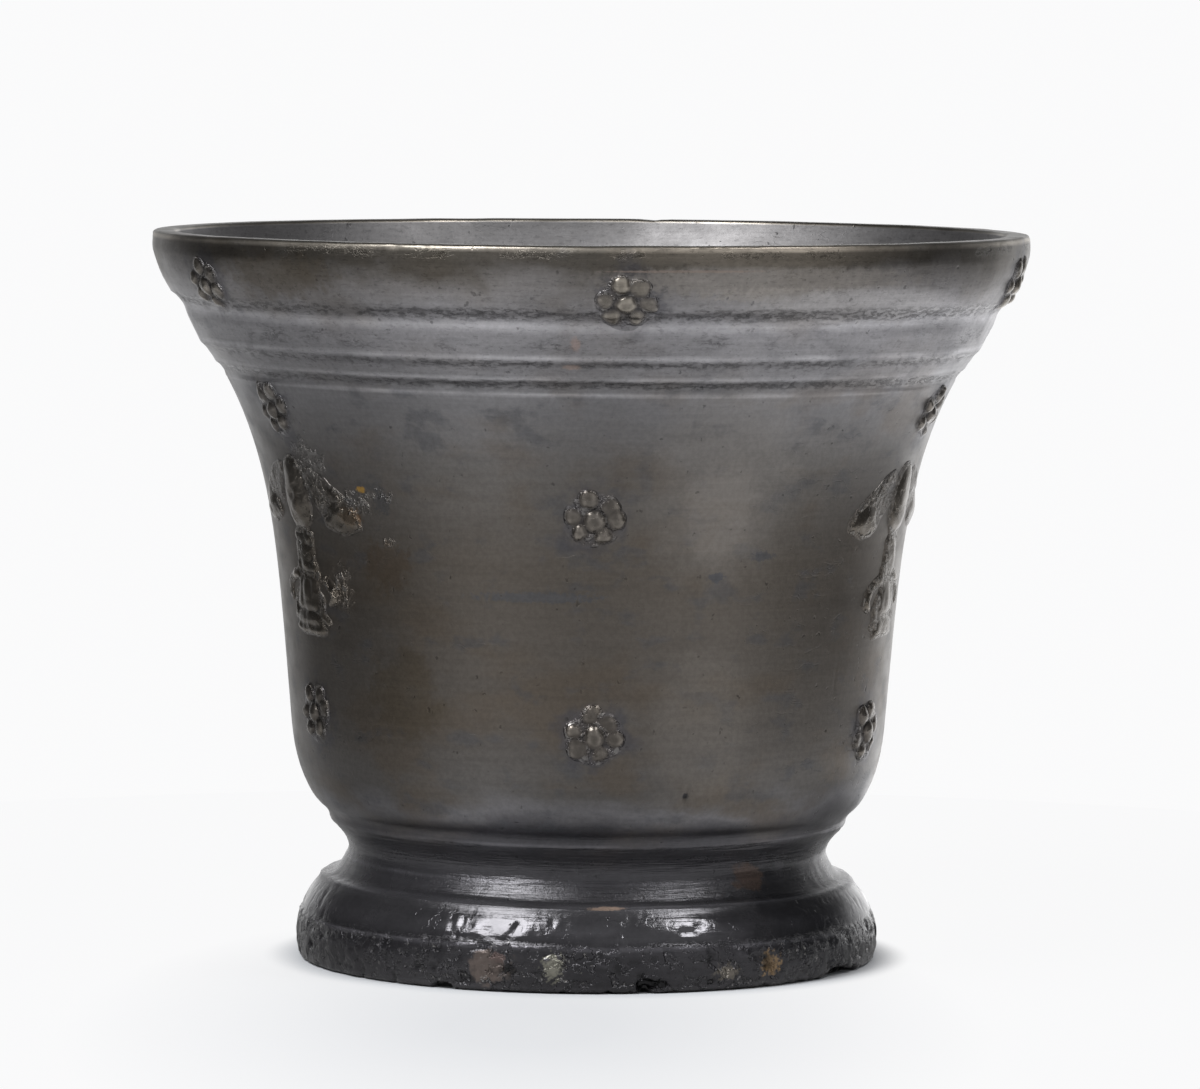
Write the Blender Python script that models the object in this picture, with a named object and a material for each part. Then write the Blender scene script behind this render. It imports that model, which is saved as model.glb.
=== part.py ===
"""Footed bronze mortar: a heavy cast grinding bowl with applied rosettes and lilies.

Metres, +Z up. The origin is the middle of the foot's underside. Azimuths are in
degrees round +Z: 0 faces -Y, which is the front, and they grow towards +X.
"""
import math

import bmesh
import bpy
from mathutils import Vector

# Turned mouldings of the vessel, from the ground up: the height of each band
FOOT_DRUM_HEIGHT = 0.0080
FOOT_ROLL_HEIGHT = 0.0068
NECK_LOWER_HEIGHT = 0.0047
NECK_UPPER_HEIGHT = 0.0044
BEAD_HEIGHT = 0.0025
BASE_BAND_HEIGHT = 0.0031
BODY_HEIGHT = 0.0778
FILLET_HEIGHT = 0.0010
LOW_ROLL_HEIGHT = 0.0037
CORNICE_BAND_HEIGHT = 0.0049
HIGH_ROLL_HEIGHT = 0.0036
LIP_FLARE_HEIGHT = 0.0085
LIP_BAND_HEIGHT = 0.0040

# Outer radii of the vessel, from the ground up
FOOT_RADIUS = 0.0529
FOOT_SEAM_RADIUS = 0.0526
FOOT_CREST_RADIUS = 0.0485
NECK_RADIUS = 0.04375
BEAD_SEAT_RADIUS = 0.0460
BEAD_TOP_RADIUS = 0.0473
BASE_BAND_RADIUS = 0.0480
BODY_BASE_RADIUS = 0.0503
TAPER_BASE_RADIUS = 0.0532
TAPER_TOP_RADIUS = 0.0598
SHOULDER_RADIUS = 0.0671
LOW_ROLL_RADIUS = 0.0685
CORNICE_BAND_RADIUS = 0.0709
HIGH_ROLL_RADIUS = 0.0730
LIP_BASE_RADIUS = 0.0766
RIM_RADIUS = 0.0800

# Body curve: where the base rounding ends, where the flare starts and how sharply both bend
BASE_ROUNDING_HEIGHT = 0.0153
ROUNDING_POWER = 2.8
FLARE_START_HEIGHT = 0.0200
FLARE_POWER = 3.8

# Small profile details
FOOT_EDGE_ROUND = 0.0009
FOOT_BULGE = 0.0004
FOOT_ROLL_BULGE = 0.0009
BEAD_BULGE = 0.0005
ROLL_BULGE = 0.0005
BAND_BULGE = 0.0002
LIP_BULGE = 0.0006
GROOVE_DEPTH = 0.0007
GROOVE_WIDTH = 0.0009
FINE_GROOVE_DEPTH = 0.0003
RIM_EDGE_ROUND = 0.0007

# Inside of the bowl and underside of the foot
LIP_THICKNESS = 0.0042
WALL_THICKNESS = 0.0090
LIP_THINNING_HEIGHT = 0.0300
FLOOR_LEVEL = 0.0300
FLOOR_ROUNDING_HEIGHT = 0.0180
RECESS_RADIUS = 0.0370
RECESS_DEPTH = 0.0030
RECESS_ROUND = 0.0020

# Rosettes: a boss and a ring of pellets on a thin scalloped pad
ROSETTE_PAD_THICKNESS = 0.0005
ROSETTE_PAD_MARGIN = 0.00015
SCALLOP_DEPTH = 0.0007
PETAL_COUNT = 6
PETAL_RING_RADIUS = 0.0039
PETAL_RADIUS = 0.00135
PETAL_HEIGHT = 0.0012
BOSS_RADIUS = 0.0015
BOSS_HEIGHT = 0.0014

# Lilies
LILY_HEIGHT = 0.0325
LILY_RELIEF = 0.0016
LILY_EDGE_TRIM = 0.0001

# Where the ornaments sit. Lip rosettes hang from the rim, high rosettes and lilies from the
# shoulder, mid rosettes line up with the lilies' side petals, and low rosettes fill the space
# below. All of them lie just clear of the wall.
SEAT_CLEARANCE = 0.0003
LIP_ROSETTE_DROP = 0.0088
HIGH_ROSETTE_DROP = 0.0052
LILY_GAP = 0.0030
MID_ROSETTE_RISE = 0.0231

# Smoothness of the meshes
VESSEL_SEGMENTS = 60
CURVE_STEPS = 4
BODY_STEPS = 9
INSIDE_STEPS = 8
FLOOR_STEPS = 5
SECTORS_PER_PETAL = 4
DOME_SHOULDER = 0.75
BOSS_SKIRT = 1.1
LOBE_ARCH_STEPS = 4
LOBE_ROOT_STEP = 0.0001
LILY_STRIP_WIDTH = 0.0045
LILY_STRIP_HEIGHT = 0.0090
SLOPE_REACH = 0.0005
WELD = 0.000001
SLIVER = 0.00001
SHARP_ANGLE = math.radians(35)

# Finish of the metal
METALLIC = 0.75
VESSEL_COLOR = (0.12, 0.10, 0.08)
VESSEL_ROUGHNESS = 0.40
ORNAMENT_COLOR = (0.16, 0.13, 0.10)
ORNAMENT_ROUGHNESS = 0.42

# Columns of ornaments: name, azimuth in degrees, and whether a lily stands in it
COLUMNS = (
    ("front", 1.0, False),
    ("right", 70.0, True),
    ("right_back", 127.0, False),
    ("back", 183.0, True),
    ("left_back", 241.0, False),
    ("left", 298.0, True),
)

# Hand-set ornaments: how far each one strays from its column (degrees), from its level
# (metres) and from upright (degrees); those that stray nowhere are not named
STRAYS = {
    "lip_rosette_front": (3.6, 0.0, 4.0),
    "lip_rosette_left": (1.8, 0.0002, -11.0),
    "lip_rosette_right": (6.0, 0.0004, 17.0),
    "lip_rosette_back": (-2.5, 0.0003, 22.0),
    "mid_rosette_front": (0.0, 0.0002, -9.0),
    "mid_rosette_left_back": (1.5, -0.0012, 13.0),
    "high_rosette_left": (1.0, 0.0, 20.0),
    "high_rosette_right": (2.0, -0.0006, -14.0),
    "low_rosette_front": (0.2, 0.0005, -6.0),
    "low_rosette_left": (-1.0, 0.0015, 12.0),
    "low_rosette_right": (-3.2, -0.0016, 25.0),
    "low_rosette_back": (2.0, 0.0008, -18.0),
    "lily_left": (0.0, 0.0, -2.0),
    "lily_right": (0.8, -0.0008, 1.5),
}

# Levels worked out from the band heights
SEAM_LEVEL = FOOT_DRUM_HEIGHT
CREST_LEVEL = SEAM_LEVEL + FOOT_ROLL_HEIGHT
NECK_LEVEL = CREST_LEVEL + NECK_LOWER_HEIGHT
BEAD_LEVEL = NECK_LEVEL + NECK_UPPER_HEIGHT
BASE_BAND_LEVEL = BEAD_LEVEL + BEAD_HEIGHT
BODY_LEVEL = BASE_BAND_LEVEL + BASE_BAND_HEIGHT
SHOULDER_LEVEL = BODY_LEVEL + BODY_HEIGHT
LOW_ROLL_LEVEL = SHOULDER_LEVEL + FILLET_HEIGHT
CORNICE_BAND_LEVEL = LOW_ROLL_LEVEL + LOW_ROLL_HEIGHT
HIGH_ROLL_LEVEL = CORNICE_BAND_LEVEL + CORNICE_BAND_HEIGHT
LIP_FLARE_LEVEL = HIGH_ROLL_LEVEL + HIGH_ROLL_HEIGHT
LIP_BAND_LEVEL = LIP_FLARE_LEVEL + LIP_FLARE_HEIGHT
RIM_LEVEL = LIP_BAND_LEVEL + LIP_BAND_HEIGHT
ROSETTE_RADIUS = PETAL_RING_RADIUS + PETAL_RADIUS + ROSETTE_PAD_MARGIN

# Lobes of the lily. Each is a path of (x, y, half-width), as shares of the lily's height with
# y = 0 at its foot, then its crest as a share of the relief, and whether it has a mirror image.
# A lobe slopes down where its half-width is under LOBE_FULL_WIDTH.
LOBE_FULL_WIDTH = 0.05
LILY_LOBES = (
    (((0.0, 0.57, 0.05), (0.0, 0.64, 0.12), (0.0, 0.72, 0.145), (0.0, 0.80, 0.125),
      (0.0, 0.90, 0.065), (0.0, 1.0, 0.01)), 1.00, False),
    (((0.05, 0.90, 0.015), (0.14, 0.825, 0.075), (0.245, 0.745, 0.115), (0.355, 0.69, 0.115),
      (0.455, 0.66, 0.085), (0.525, 0.66, 0.030)), 0.90, True),
    (((0.0, 0.34, 0.10), (0.0, 0.62, 0.10)), 0.62, False),
    (((-0.14, 0.365, 0.025), (0.14, 0.365, 0.025)), 0.84, False),
    (((0.0, 0.345, 0.07), (0.0, 0.27, 0.135), (0.0, 0.19, 0.15), (0.0, 0.06, 0.125)), 0.76, False),
    (((0.09, 0.30, 0.04), (0.19, 0.275, 0.05), (0.265, 0.215, 0.045), (0.28, 0.18, 0.015)), 0.68, True),
    (((-0.185, 0.05, 0.05), (0.185, 0.05, 0.05)), 0.72, False),
)


def clear_scene():
    """Empty the scene before the model is built."""
    for old in list(bpy.data.objects):
        bpy.data.objects.remove(old, do_unlink=True)


def bronze(name, color, roughness):
    """Principled material of patinated bronze for one piece."""
    material = bpy.data.materials.new(name)
    material.use_nodes = True
    shader = material.node_tree.nodes["Principled BSDF"]
    shader.inputs["Base Color"].default_value = (*color, 1.0)
    shader.inputs["Metallic"].default_value = METALLIC
    shader.inputs["Roughness"].default_value = roughness
    return material


# Outer wall

def roll(low, high, bulge):
    """Convex band from low to high, both (radius, level), pushed outwards by a half sine."""
    points = []
    for step in range(CURVE_STEPS + 1):
        share = step / CURVE_STEPS
        radius = low[0] + (high[0] - low[0]) * share + bulge * math.sin(math.pi * share)
        level = low[1] + (high[1] - low[1]) * share
        points.append((radius, level))
    return points


def cove(low, high):
    """Hollow half of the neck, a parabola that is upright at whichever end is narrower."""
    points = []
    for step in range(CURVE_STEPS + 1):
        share = step / CURVE_STEPS
        if low[0] > high[0]:
            blend = 1.0 - (1.0 - share) ** 2
        else:
            blend = share ** 2
        radius = low[0] + (high[0] - low[0]) * blend
        level = low[1] + (high[1] - low[1]) * share
        points.append((radius, level))
    return points


def body_radius(level):
    """Body wall: a straight taper, rounded in at its base and flared under the cornice."""
    height = level - BODY_LEVEL
    radius = TAPER_BASE_RADIUS + (TAPER_TOP_RADIUS - TAPER_BASE_RADIUS) * height / BODY_HEIGHT
    if height < BASE_ROUNDING_HEIGHT:
        share = 1.0 - height / BASE_ROUNDING_HEIGHT
        radius -= (TAPER_BASE_RADIUS - BODY_BASE_RADIUS) * share ** ROUNDING_POWER
    if height > FLARE_START_HEIGHT:
        share = (height - FLARE_START_HEIGHT) / (BODY_HEIGHT - FLARE_START_HEIGHT)
        radius += (SHOULDER_RADIUS - TAPER_TOP_RADIUS) * share ** FLARE_POWER
    return radius


def body_wall():
    """Points of the body from its base to the shoulder, closer together where it rounds in."""
    rounding = [BASE_ROUNDING_HEIGHT * step / CURVE_STEPS for step in range(CURVE_STEPS + 1)]
    flare_height = BODY_HEIGHT - FLARE_START_HEIGHT
    flare = [FLARE_START_HEIGHT + flare_height * step / BODY_STEPS for step in range(BODY_STEPS + 1)]
    return [(body_radius(BODY_LEVEL + height), BODY_LEVEL + height) for height in sorted(rounding + flare)]


def smooth_outline():
    """Outer wall from the foot's edge to the rim, as (radius, level), with no grooves cut."""
    foot_edge = (FOOT_RADIUS, FOOT_EDGE_ROUND)
    seam = (FOOT_SEAM_RADIUS, SEAM_LEVEL)
    crest = (FOOT_CREST_RADIUS, CREST_LEVEL)
    neck = (NECK_RADIUS, NECK_LEVEL)
    bead = (BEAD_SEAT_RADIUS, BEAD_LEVEL)
    bead_top = (BEAD_TOP_RADIUS, BASE_BAND_LEVEL)
    low_roll = (LOW_ROLL_RADIUS, LOW_ROLL_LEVEL)
    cornice_band = (CORNICE_BAND_RADIUS, CORNICE_BAND_LEVEL)
    high_roll = (HIGH_ROLL_RADIUS, HIGH_ROLL_LEVEL)
    lip_base = (LIP_BASE_RADIUS, LIP_FLARE_LEVEL)
    lip_edge = (RIM_RADIUS, LIP_BAND_LEVEL)

    points = [(FOOT_RADIUS - FOOT_EDGE_ROUND, 0.0)]
    points += roll(foot_edge, seam, FOOT_BULGE)
    points += roll(seam, crest, FOOT_ROLL_BULGE)[1:]
    points += cove(crest, neck)[1:]
    points += cove(neck, bead)[1:]
    points += roll(bead, bead_top, BEAD_BULGE)[1:]
    points += [(BASE_BAND_RADIUS, BASE_BAND_LEVEL + GROOVE_WIDTH / 2)]
    points += body_wall()
    points += roll(low_roll, cornice_band, ROLL_BULGE)
    points += roll(cornice_band, high_roll, BAND_BULGE)[1:]
    points += roll(high_roll, lip_base, ROLL_BULGE)[1:]
    points += roll(lip_base, lip_edge, LIP_BULGE)[1:]
    points += [(RIM_RADIUS, RIM_LEVEL - RIM_EDGE_ROUND)]
    return points


def wall_radius(level, outline):
    """Radius of an outline at a level, between its points."""
    for (low_radius, low_level), (high_radius, high_level) in zip(outline, outline[1:]):
        if low_level <= level <= high_level and high_level > low_level:
            share = (level - low_level) / (high_level - low_level)
            return low_radius + (high_radius - low_radius) * share
    return outline[-1][0]


def with_grooves(outline, depths):
    """Cut turned V grooves into an outline; depths gives the depth at each groove's level."""
    half = GROOVE_WIDTH / 2
    points = [point for point in outline if all(abs(point[1] - level) > half for level in depths)]
    for level, depth in depths.items():
        points.append((wall_radius(level - half, outline), level - half))
        points.append((wall_radius(level, outline) - depth, level))
        points.append((wall_radius(level + half, outline), level + half))
    return sorted(points, key=lambda point: point[1])


# Inside of the bowl

def wall_thickness(level):
    """Wall thickness, which eases from the lip's to the body's below the rim."""
    share = min(1.0, (RIM_LEVEL - level) / LIP_THINNING_HEIGHT)
    return LIP_THICKNESS + (WALL_THICKNESS - LIP_THICKNESS) * share * share * (3.0 - 2.0 * share)


def inside_profile(outline):
    """Inside of the bowl from the rim down to the middle of its rounded floor."""
    floor_top = FLOOR_LEVEL + FLOOR_ROUNDING_HEIGHT
    top = RIM_LEVEL - RIM_EDGE_ROUND
    points = []
    for step in range(INSIDE_STEPS + 1):
        level = top - (top - floor_top) * step / INSIDE_STEPS
        points.append((wall_radius(level, outline) - wall_thickness(level), level))
    corner_radius = points[-1][0]
    for step in range(1, FLOOR_STEPS + 1):
        angle = math.pi / 2 * step / FLOOR_STEPS
        level = floor_top - FLOOR_ROUNDING_HEIGHT * math.sin(angle)
        points.append((corner_radius * math.cos(angle), level))
    return points


def vessel_profile(outline):
    """Whole section of the vessel from the recess under the foot to the floor of the bowl."""
    underside = [
        (0.0, RECESS_DEPTH),
        (RECESS_RADIUS - RECESS_ROUND, RECESS_DEPTH),
        (RECESS_RADIUS, 0.0),
    ]
    grooved = with_grooves(outline, {
        SEAM_LEVEL: FINE_GROOVE_DEPTH,
        BASE_BAND_LEVEL: FINE_GROOVE_DEPTH,
        LOW_ROLL_LEVEL: GROOVE_DEPTH,
        CORNICE_BAND_LEVEL: GROOVE_DEPTH,
        LIP_FLARE_LEVEL: GROOVE_DEPTH,
    })
    rim = [
        (RIM_RADIUS - RIM_EDGE_ROUND, RIM_LEVEL),
        (RIM_RADIUS - LIP_THICKNESS + RIM_EDGE_ROUND, RIM_LEVEL),
    ]
    return underside + grooved + rim + inside_profile(outline)


def turn(profile, segments):
    """Spin a (radius, level) profile about +Z into one closed body."""
    mesh = bmesh.new()
    verts = [mesh.verts.new((radius, 0.0, level)) for radius, level in profile]
    edges = [mesh.edges.new(pair) for pair in zip(verts, verts[1:])]
    bmesh.ops.spin(mesh, geom=verts + edges, cent=(0, 0, 0), axis=(0, 0, 1), angle=math.tau,
                   steps=segments, use_merge=True, use_duplicate=False)
    bmesh.ops.remove_doubles(mesh, verts=mesh.verts, dist=WELD)
    bmesh.ops.recalc_face_normals(mesh, faces=mesh.faces)
    return mesh


# Ornaments

def dome(distance, radius, height):
    """Height of a round pellet at a distance from its middle."""
    if distance >= radius:
        return 0.0
    return height * math.sqrt(1.0 - (distance / radius) ** 2)


def rosette_relief(x, y):
    """Height of a rosette above its seat at a point of its flat pattern."""
    height = ROSETTE_PAD_THICKNESS
    height = max(height, dome(math.hypot(x, y), BOSS_RADIUS, BOSS_HEIGHT))
    for petal in range(PETAL_COUNT):
        angle = math.tau * petal / PETAL_COUNT
        petal_x = PETAL_RING_RADIUS * math.cos(angle)
        petal_y = PETAL_RING_RADIUS * math.sin(angle)
        height = max(height, dome(math.hypot(x - petal_x, y - petal_y), PETAL_RADIUS, PETAL_HEIGHT))
    return height


def rosette_mesh():
    """Flat rosette: a boss and a ring of round petals on a thin scalloped pad, back at z = 0."""
    mesh = bmesh.new()
    sectors = PETAL_COUNT * SECTORS_PER_PETAL
    # Each ring of points: its radius at a petal, how far it draws in between petals, and
    # whether it lies on the front
    rings = (
        (BOSS_RADIUS * DOME_SHOULDER, 0.0, True),
        (BOSS_RADIUS * BOSS_SKIRT, 0.0, True),
        (PETAL_RING_RADIUS - PETAL_RADIUS * DOME_SHOULDER, 0.0, True),
        (PETAL_RING_RADIUS, SCALLOP_DEPTH / 2, True),
        (PETAL_RING_RADIUS + PETAL_RADIUS * DOME_SHOULDER, SCALLOP_DEPTH, True),
        (ROSETTE_RADIUS, SCALLOP_DEPTH, False),
    )
    loops = []
    for radius, dip, on_front in rings:
        loop = []
        for sector in range(sectors):
            angle = math.tau * sector / sectors
            reach = radius - dip * (1.0 - math.cos(PETAL_COUNT * angle)) / 2
            x = reach * math.cos(angle)
            y = reach * math.sin(angle)
            height = rosette_relief(x, y) if on_front else 0.0
            loop.append(mesh.verts.new((x, y, height)))
        loops.append(loop)
    top = mesh.verts.new((0.0, 0.0, BOSS_HEIGHT))
    back = mesh.verts.new((0.0, 0.0, 0.0))
    for sector in range(sectors):
        beside = (sector + 1) % sectors
        mesh.faces.new((top, loops[0][sector], loops[0][beside]))
        for inner, outer in zip(loops, loops[1:]):
            mesh.faces.new((inner[sector], outer[sector], outer[beside], inner[beside]))
        mesh.faces.new((back, loops[-1][beside], loops[-1][sector]))
    return mesh


def lobe(path, crest, side, root):
    """One arched lobe of a lily along a path of (x, y, half-width) shares.

    It rises to its crest and reaches down to its root below z = 0; side -1 mirrors it.
    """
    mesh = bmesh.new()
    arch = [math.pi * step / LOBE_ARCH_STEPS for step in range(LOBE_ARCH_STEPS + 1)]
    rings = []
    for index, (x, y, half_width) in enumerate(path):
        before = path[max(index - 1, 0)]
        after = path[min(index + 1, len(path) - 1)]
        across = Vector((after[1] - before[1], before[0] - after[0])).normalized() * half_width
        top = crest * min(1.0, half_width / LOBE_FULL_WIDTH)
        section = [(math.cos(angle), top * math.sin(angle)) for angle in arch]
        section += [(-1.0, -root), (1.0, -root)]
        ring = []
        for share, height in section:
            point = Vector((x, y - 0.5)) + across * share
            ring.append(mesh.verts.new((side * point.x * LILY_HEIGHT, point.y * LILY_HEIGHT, height)))
        rings.append(ring)
    for low, high in zip(rings, rings[1:]):
        for index in range(len(low)):
            beside = (index + 1) % len(low)
            mesh.faces.new((low[index], low[beside], high[beside], high[index]))
    mesh.faces.new(rings[0])
    mesh.faces.new(rings[-1])
    bmesh.ops.recalc_face_normals(mesh, faces=mesh.faces)
    return mesh


def joined(meshes):
    """Boolean union of closed meshes, as one new mesh."""
    others = bpy.data.collections.new("lobes")
    pieces = []
    for mesh in meshes:
        data = bpy.data.meshes.new("lobe")
        mesh.to_mesh(data)
        mesh.free()
        piece = bpy.data.objects.new("lobe", data)
        home = others if pieces else bpy.context.scene.collection
        home.objects.link(piece)
        pieces.append(piece)
    union = pieces[0].modifiers.new("union", "BOOLEAN")
    union.operation = "UNION"
    union.solver = "EXACT"
    union.operand_type = "COLLECTION"
    union.collection = others
    depsgraph = bpy.context.evaluated_depsgraph_get()
    result = bmesh.new()
    result.from_mesh(pieces[0].evaluated_get(depsgraph).data)
    for piece in pieces:
        bpy.data.objects.remove(piece, do_unlink=True)
    bpy.data.collections.remove(others)
    return result


def cut_flat(mesh, level):
    """Take away what lies below a level, close the cut and rest the mesh on z = 0."""
    base = Vector((0, 0, level))
    everything = mesh.verts[:] + mesh.edges[:] + mesh.faces[:]
    cut = bmesh.ops.bisect_plane(mesh, geom=everything, plane_co=base, plane_no=(0, 0, 1),
                                 clear_inner=True)
    outline = [item for item in cut["geom_cut"] if isinstance(item, bmesh.types.BMEdge)]
    bmesh.ops.triangle_fill(mesh, edges=outline, use_beauty=True)
    bmesh.ops.translate(mesh, verts=mesh.verts, vec=-base)


def slice_across(mesh, direction, spacing, reach):
    """Add edges across a flat mesh every so often along a direction, so that it can bend."""
    slices = math.ceil(reach / spacing)
    for number in range(-slices, slices + 1):
        everything = mesh.verts[:] + mesh.edges[:] + mesh.faces[:]
        bmesh.ops.bisect_plane(mesh, geom=everything, plane_co=direction * number * spacing,
                               plane_no=direction, dist=SLIVER)


def lily_mesh():
    """Flat lily, its middle at the origin and its back at z = 0, sliced so that it can bend."""
    lobes = []
    for path, crest, is_paired in LILY_LOBES:
        for side in (1, -1) if is_paired else (1,):
            # Roots of different depths never share a plane, which keeps the union clean
            root = LILY_RELIEF + LOBE_ROOT_STEP * len(lobes)
            lobes.append(lobe(path, crest * LILY_RELIEF, side, root))
    mesh = joined(lobes)
    cut_flat(mesh, LILY_EDGE_TRIM)
    slice_across(mesh, Vector((1, 0, 0)), LILY_STRIP_WIDTH, LILY_HEIGHT / 2)
    slice_across(mesh, Vector((0, 1, 0)), LILY_STRIP_HEIGHT, LILY_HEIGHT / 2)
    bmesh.ops.dissolve_degenerate(mesh, edges=mesh.edges, dist=SLIVER)
    bmesh.ops.triangulate(mesh, faces=mesh.faces)
    bmesh.ops.recalc_face_normals(mesh, faces=mesh.faces)
    return mesh


def press_on(mesh, outline, azimuth, level, tilt):
    """Bend a flat ornament round the wall, its middle at an azimuth and a level, its back just clear."""
    middle_radius = wall_radius(level, outline)

    def wall_normal(height):
        rise = wall_radius(height + SLOPE_REACH, outline) - wall_radius(height - SLOPE_REACH, outline)
        return Vector((2 * SLOPE_REACH, -rise)).normalized()

    climb = wall_normal(level).x
    for vert in mesh.verts:
        x = vert.co.x * math.cos(tilt) - vert.co.y * math.sin(tilt)
        y = vert.co.x * math.sin(tilt) + vert.co.y * math.cos(tilt)
        height = level + y * climb
        normal = wall_normal(height)
        proud = vert.co.z + SEAT_CLEARANCE
        radius = wall_radius(height, outline) + proud * normal.x
        angle = azimuth + x / middle_radius
        vert.co = (radius * math.sin(angle), -radius * math.cos(angle), height + proud * normal.y)


def finish(name, mesh, material):
    """Make a named object of a mesh, with its round faces smooth and its material."""
    data = bpy.data.meshes.new(name)
    mesh.to_mesh(data)
    mesh.free()
    data.shade_smooth()
    data.set_sharp_from_angle(angle=SHARP_ANGLE)
    data.materials.append(material)
    piece = bpy.data.objects.new(name, data)
    bpy.context.scene.collection.objects.link(piece)
    return piece


def add_ornament(name, mesh, outline, azimuth, level):
    """Press one ornament on the wall, with the small stray that its setter left."""
    stray_azimuth, stray_level, tilt = STRAYS.get(name, (0.0, 0.0, 0.0))
    press_on(mesh, outline, math.radians(azimuth + stray_azimuth), level + stray_level, math.radians(tilt))
    return finish(name, mesh, bronze(name + "_bronze", ORNAMENT_COLOR, ORNAMENT_ROUGHNESS))


def main():
    clear_scene()
    outline = smooth_outline()
    vessel = turn(vessel_profile(outline), VESSEL_SEGMENTS)
    pieces = [finish("vessel", vessel, bronze("vessel_bronze", VESSEL_COLOR, VESSEL_ROUGHNESS))]

    high_level = SHOULDER_LEVEL - HIGH_ROSETTE_DROP
    lily_level = high_level - ROSETTE_RADIUS - LILY_GAP - LILY_HEIGHT / 2
    lily_foot_level = lily_level - LILY_HEIGHT / 2
    mid_level = lily_foot_level + MID_ROSETTE_RISE
    low_level = (BODY_LEVEL + lily_foot_level) / 2
    lip_level = RIM_LEVEL - LIP_ROSETTE_DROP
    for column, azimuth, has_lily in COLUMNS:
        rosettes = {"lip": lip_level, "low": low_level}
        if has_lily:
            rosettes["high"] = high_level
            pieces.append(add_ornament(f"lily_{column}", lily_mesh(), outline, azimuth, lily_level))
        else:
            rosettes["mid"] = mid_level
        for place, level in rosettes.items():
            name = f"{place}_rosette_{column}"
            pieces.append(add_ornament(name, rosette_mesh(), outline, azimuth, level))

    mortar = bpy.data.objects.new("mortar", None)
    bpy.context.scene.collection.objects.link(mortar)
    for piece in pieces:
        piece.parent = mortar


main()
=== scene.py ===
"""Looks of the bronze mortar: its cast and patinated surface, worn ornaments, studio and camera.

Sizes are in millimetres until a mesh is built; the frame is in metres, +Z up. Azimuths are round
+Z: 0 faces -Y, which is the front, and they grow towards +X.
"""

import functools
import itertools
import math

import bpy
import numpy as np
from mathutils import Matrix, Vector


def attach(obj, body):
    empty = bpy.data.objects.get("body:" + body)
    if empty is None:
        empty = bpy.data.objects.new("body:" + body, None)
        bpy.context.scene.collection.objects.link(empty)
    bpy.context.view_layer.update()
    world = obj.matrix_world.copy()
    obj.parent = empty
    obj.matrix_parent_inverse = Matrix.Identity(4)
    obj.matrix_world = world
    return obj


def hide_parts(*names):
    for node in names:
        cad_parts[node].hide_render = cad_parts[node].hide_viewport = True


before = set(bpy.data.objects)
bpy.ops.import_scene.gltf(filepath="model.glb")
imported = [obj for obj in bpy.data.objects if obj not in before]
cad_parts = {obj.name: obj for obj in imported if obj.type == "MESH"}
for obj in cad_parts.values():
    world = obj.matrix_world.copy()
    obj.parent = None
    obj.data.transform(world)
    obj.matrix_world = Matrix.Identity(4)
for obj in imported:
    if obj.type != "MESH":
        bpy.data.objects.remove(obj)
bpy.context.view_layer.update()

MM = 0.001

# Corners of the foot's profile and of the cornice's, from the ground up: (radius, level)
FOOT_CORNERS = (
    (52.9, 0.9), (53.3, 2.5), (53.4, 5), (53.1, 7.2), (52.7, 8), (52.5, 8.9), (51.9, 10.2), (51, 11.8),
    (49.9, 13.3), (49, 14.4), (48.6, 14.8), (47, 15.1), (46.2, 15.5), (45.5, 16.3), (44.9, 17.2),
    (44.4, 18.1), (43.95, 19), (43.75, 19.8), (43.9, 20.8), (44.3, 21.7), (45, 22.8), (46, 23.9),
    (46.75, 24.4), (47.25, 25.3), (47.4, 26.3), (48, 27), (49, 28), (50.3, 29.5),
)
CORNICE_CORNERS = (
    (66.49, 106.2), (66.8, 107.1), (67.4, 107.9), (68.6, 108.9), (68.85, 109.6), (70.1, 111.3),
    (71.3, 112.4), (71.55, 113.1), (73.6, 117.2), (74.3, 119.2), (74.8, 119.8), (76.6, 121.5),
    (77.2, 122.5), (78.1, 124), (78.95, 126), (79.6, 128), (80, 129.2), (80.1, 130.6),
    (80, 132.3),
)
FOOT_EDGE = FOOT_CORNERS[0]
BODY_BASE = FOOT_CORNERS[-1]
SHOULDER = (67.1, 107.3)
RIM = CORNICE_CORNERS[-1]

# Body: a straight taper, rounded in at its base and flared under the cornice
TAPER_BASE = 53.2
TAPER_TOP = 59.8
BASE_ROUNDING = 15.3
ROUNDING_POWER = 2.8
FLARE_START = 20.0
FLARE_POWER = 3.8

# Rim, inside and underside
RIM_LEVEL = 133.0
RIM_ROUND = 0.7
LIP_THICKNESS = 4.2
WALL_THICKNESS = 9.0
LIP_THINNING = 30.0
FLOOR_LEVEL = 30.0
FLOOR_ROUNDING = 18.0
RECESS_RADIUS = 37.0
RECESS_DEPTH = 3.0
RECESS_ROUND = 2.0

# The turned bands lie a little lower towards +X than towards -X
BAND_LEAN = 0.35
BAND_LEAN_EASE = 9.0

# The vessel's mesh: columns on its front and back, and rows of the rim's edges, the inside and the
# floor
FRONT_COLUMNS = 380
BACK_COLUMNS = 160
EDGE_STEPS = 4
INSIDE_STEPS = 16
FLOOR_STEPS = 8
FLOOR_LAST_STEP = 8.5
UNDERSIDE_ROWS = ((RECESS_RADIUS * 0.33, RECESS_DEPTH), (RECESS_RADIUS * 0.67, RECESS_DEPTH),
                  (RECESS_RADIUS - RECESS_ROUND, RECESS_DEPTH), (RECESS_RADIUS, 0.0), (44.0, 0.0),
                  (50.0, 0.0))

# An ornament's relief sinks in the wall at its border, and its back lies deeper in the wall
SINK = 0.35
BACK_DEPTH = 1.0

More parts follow.
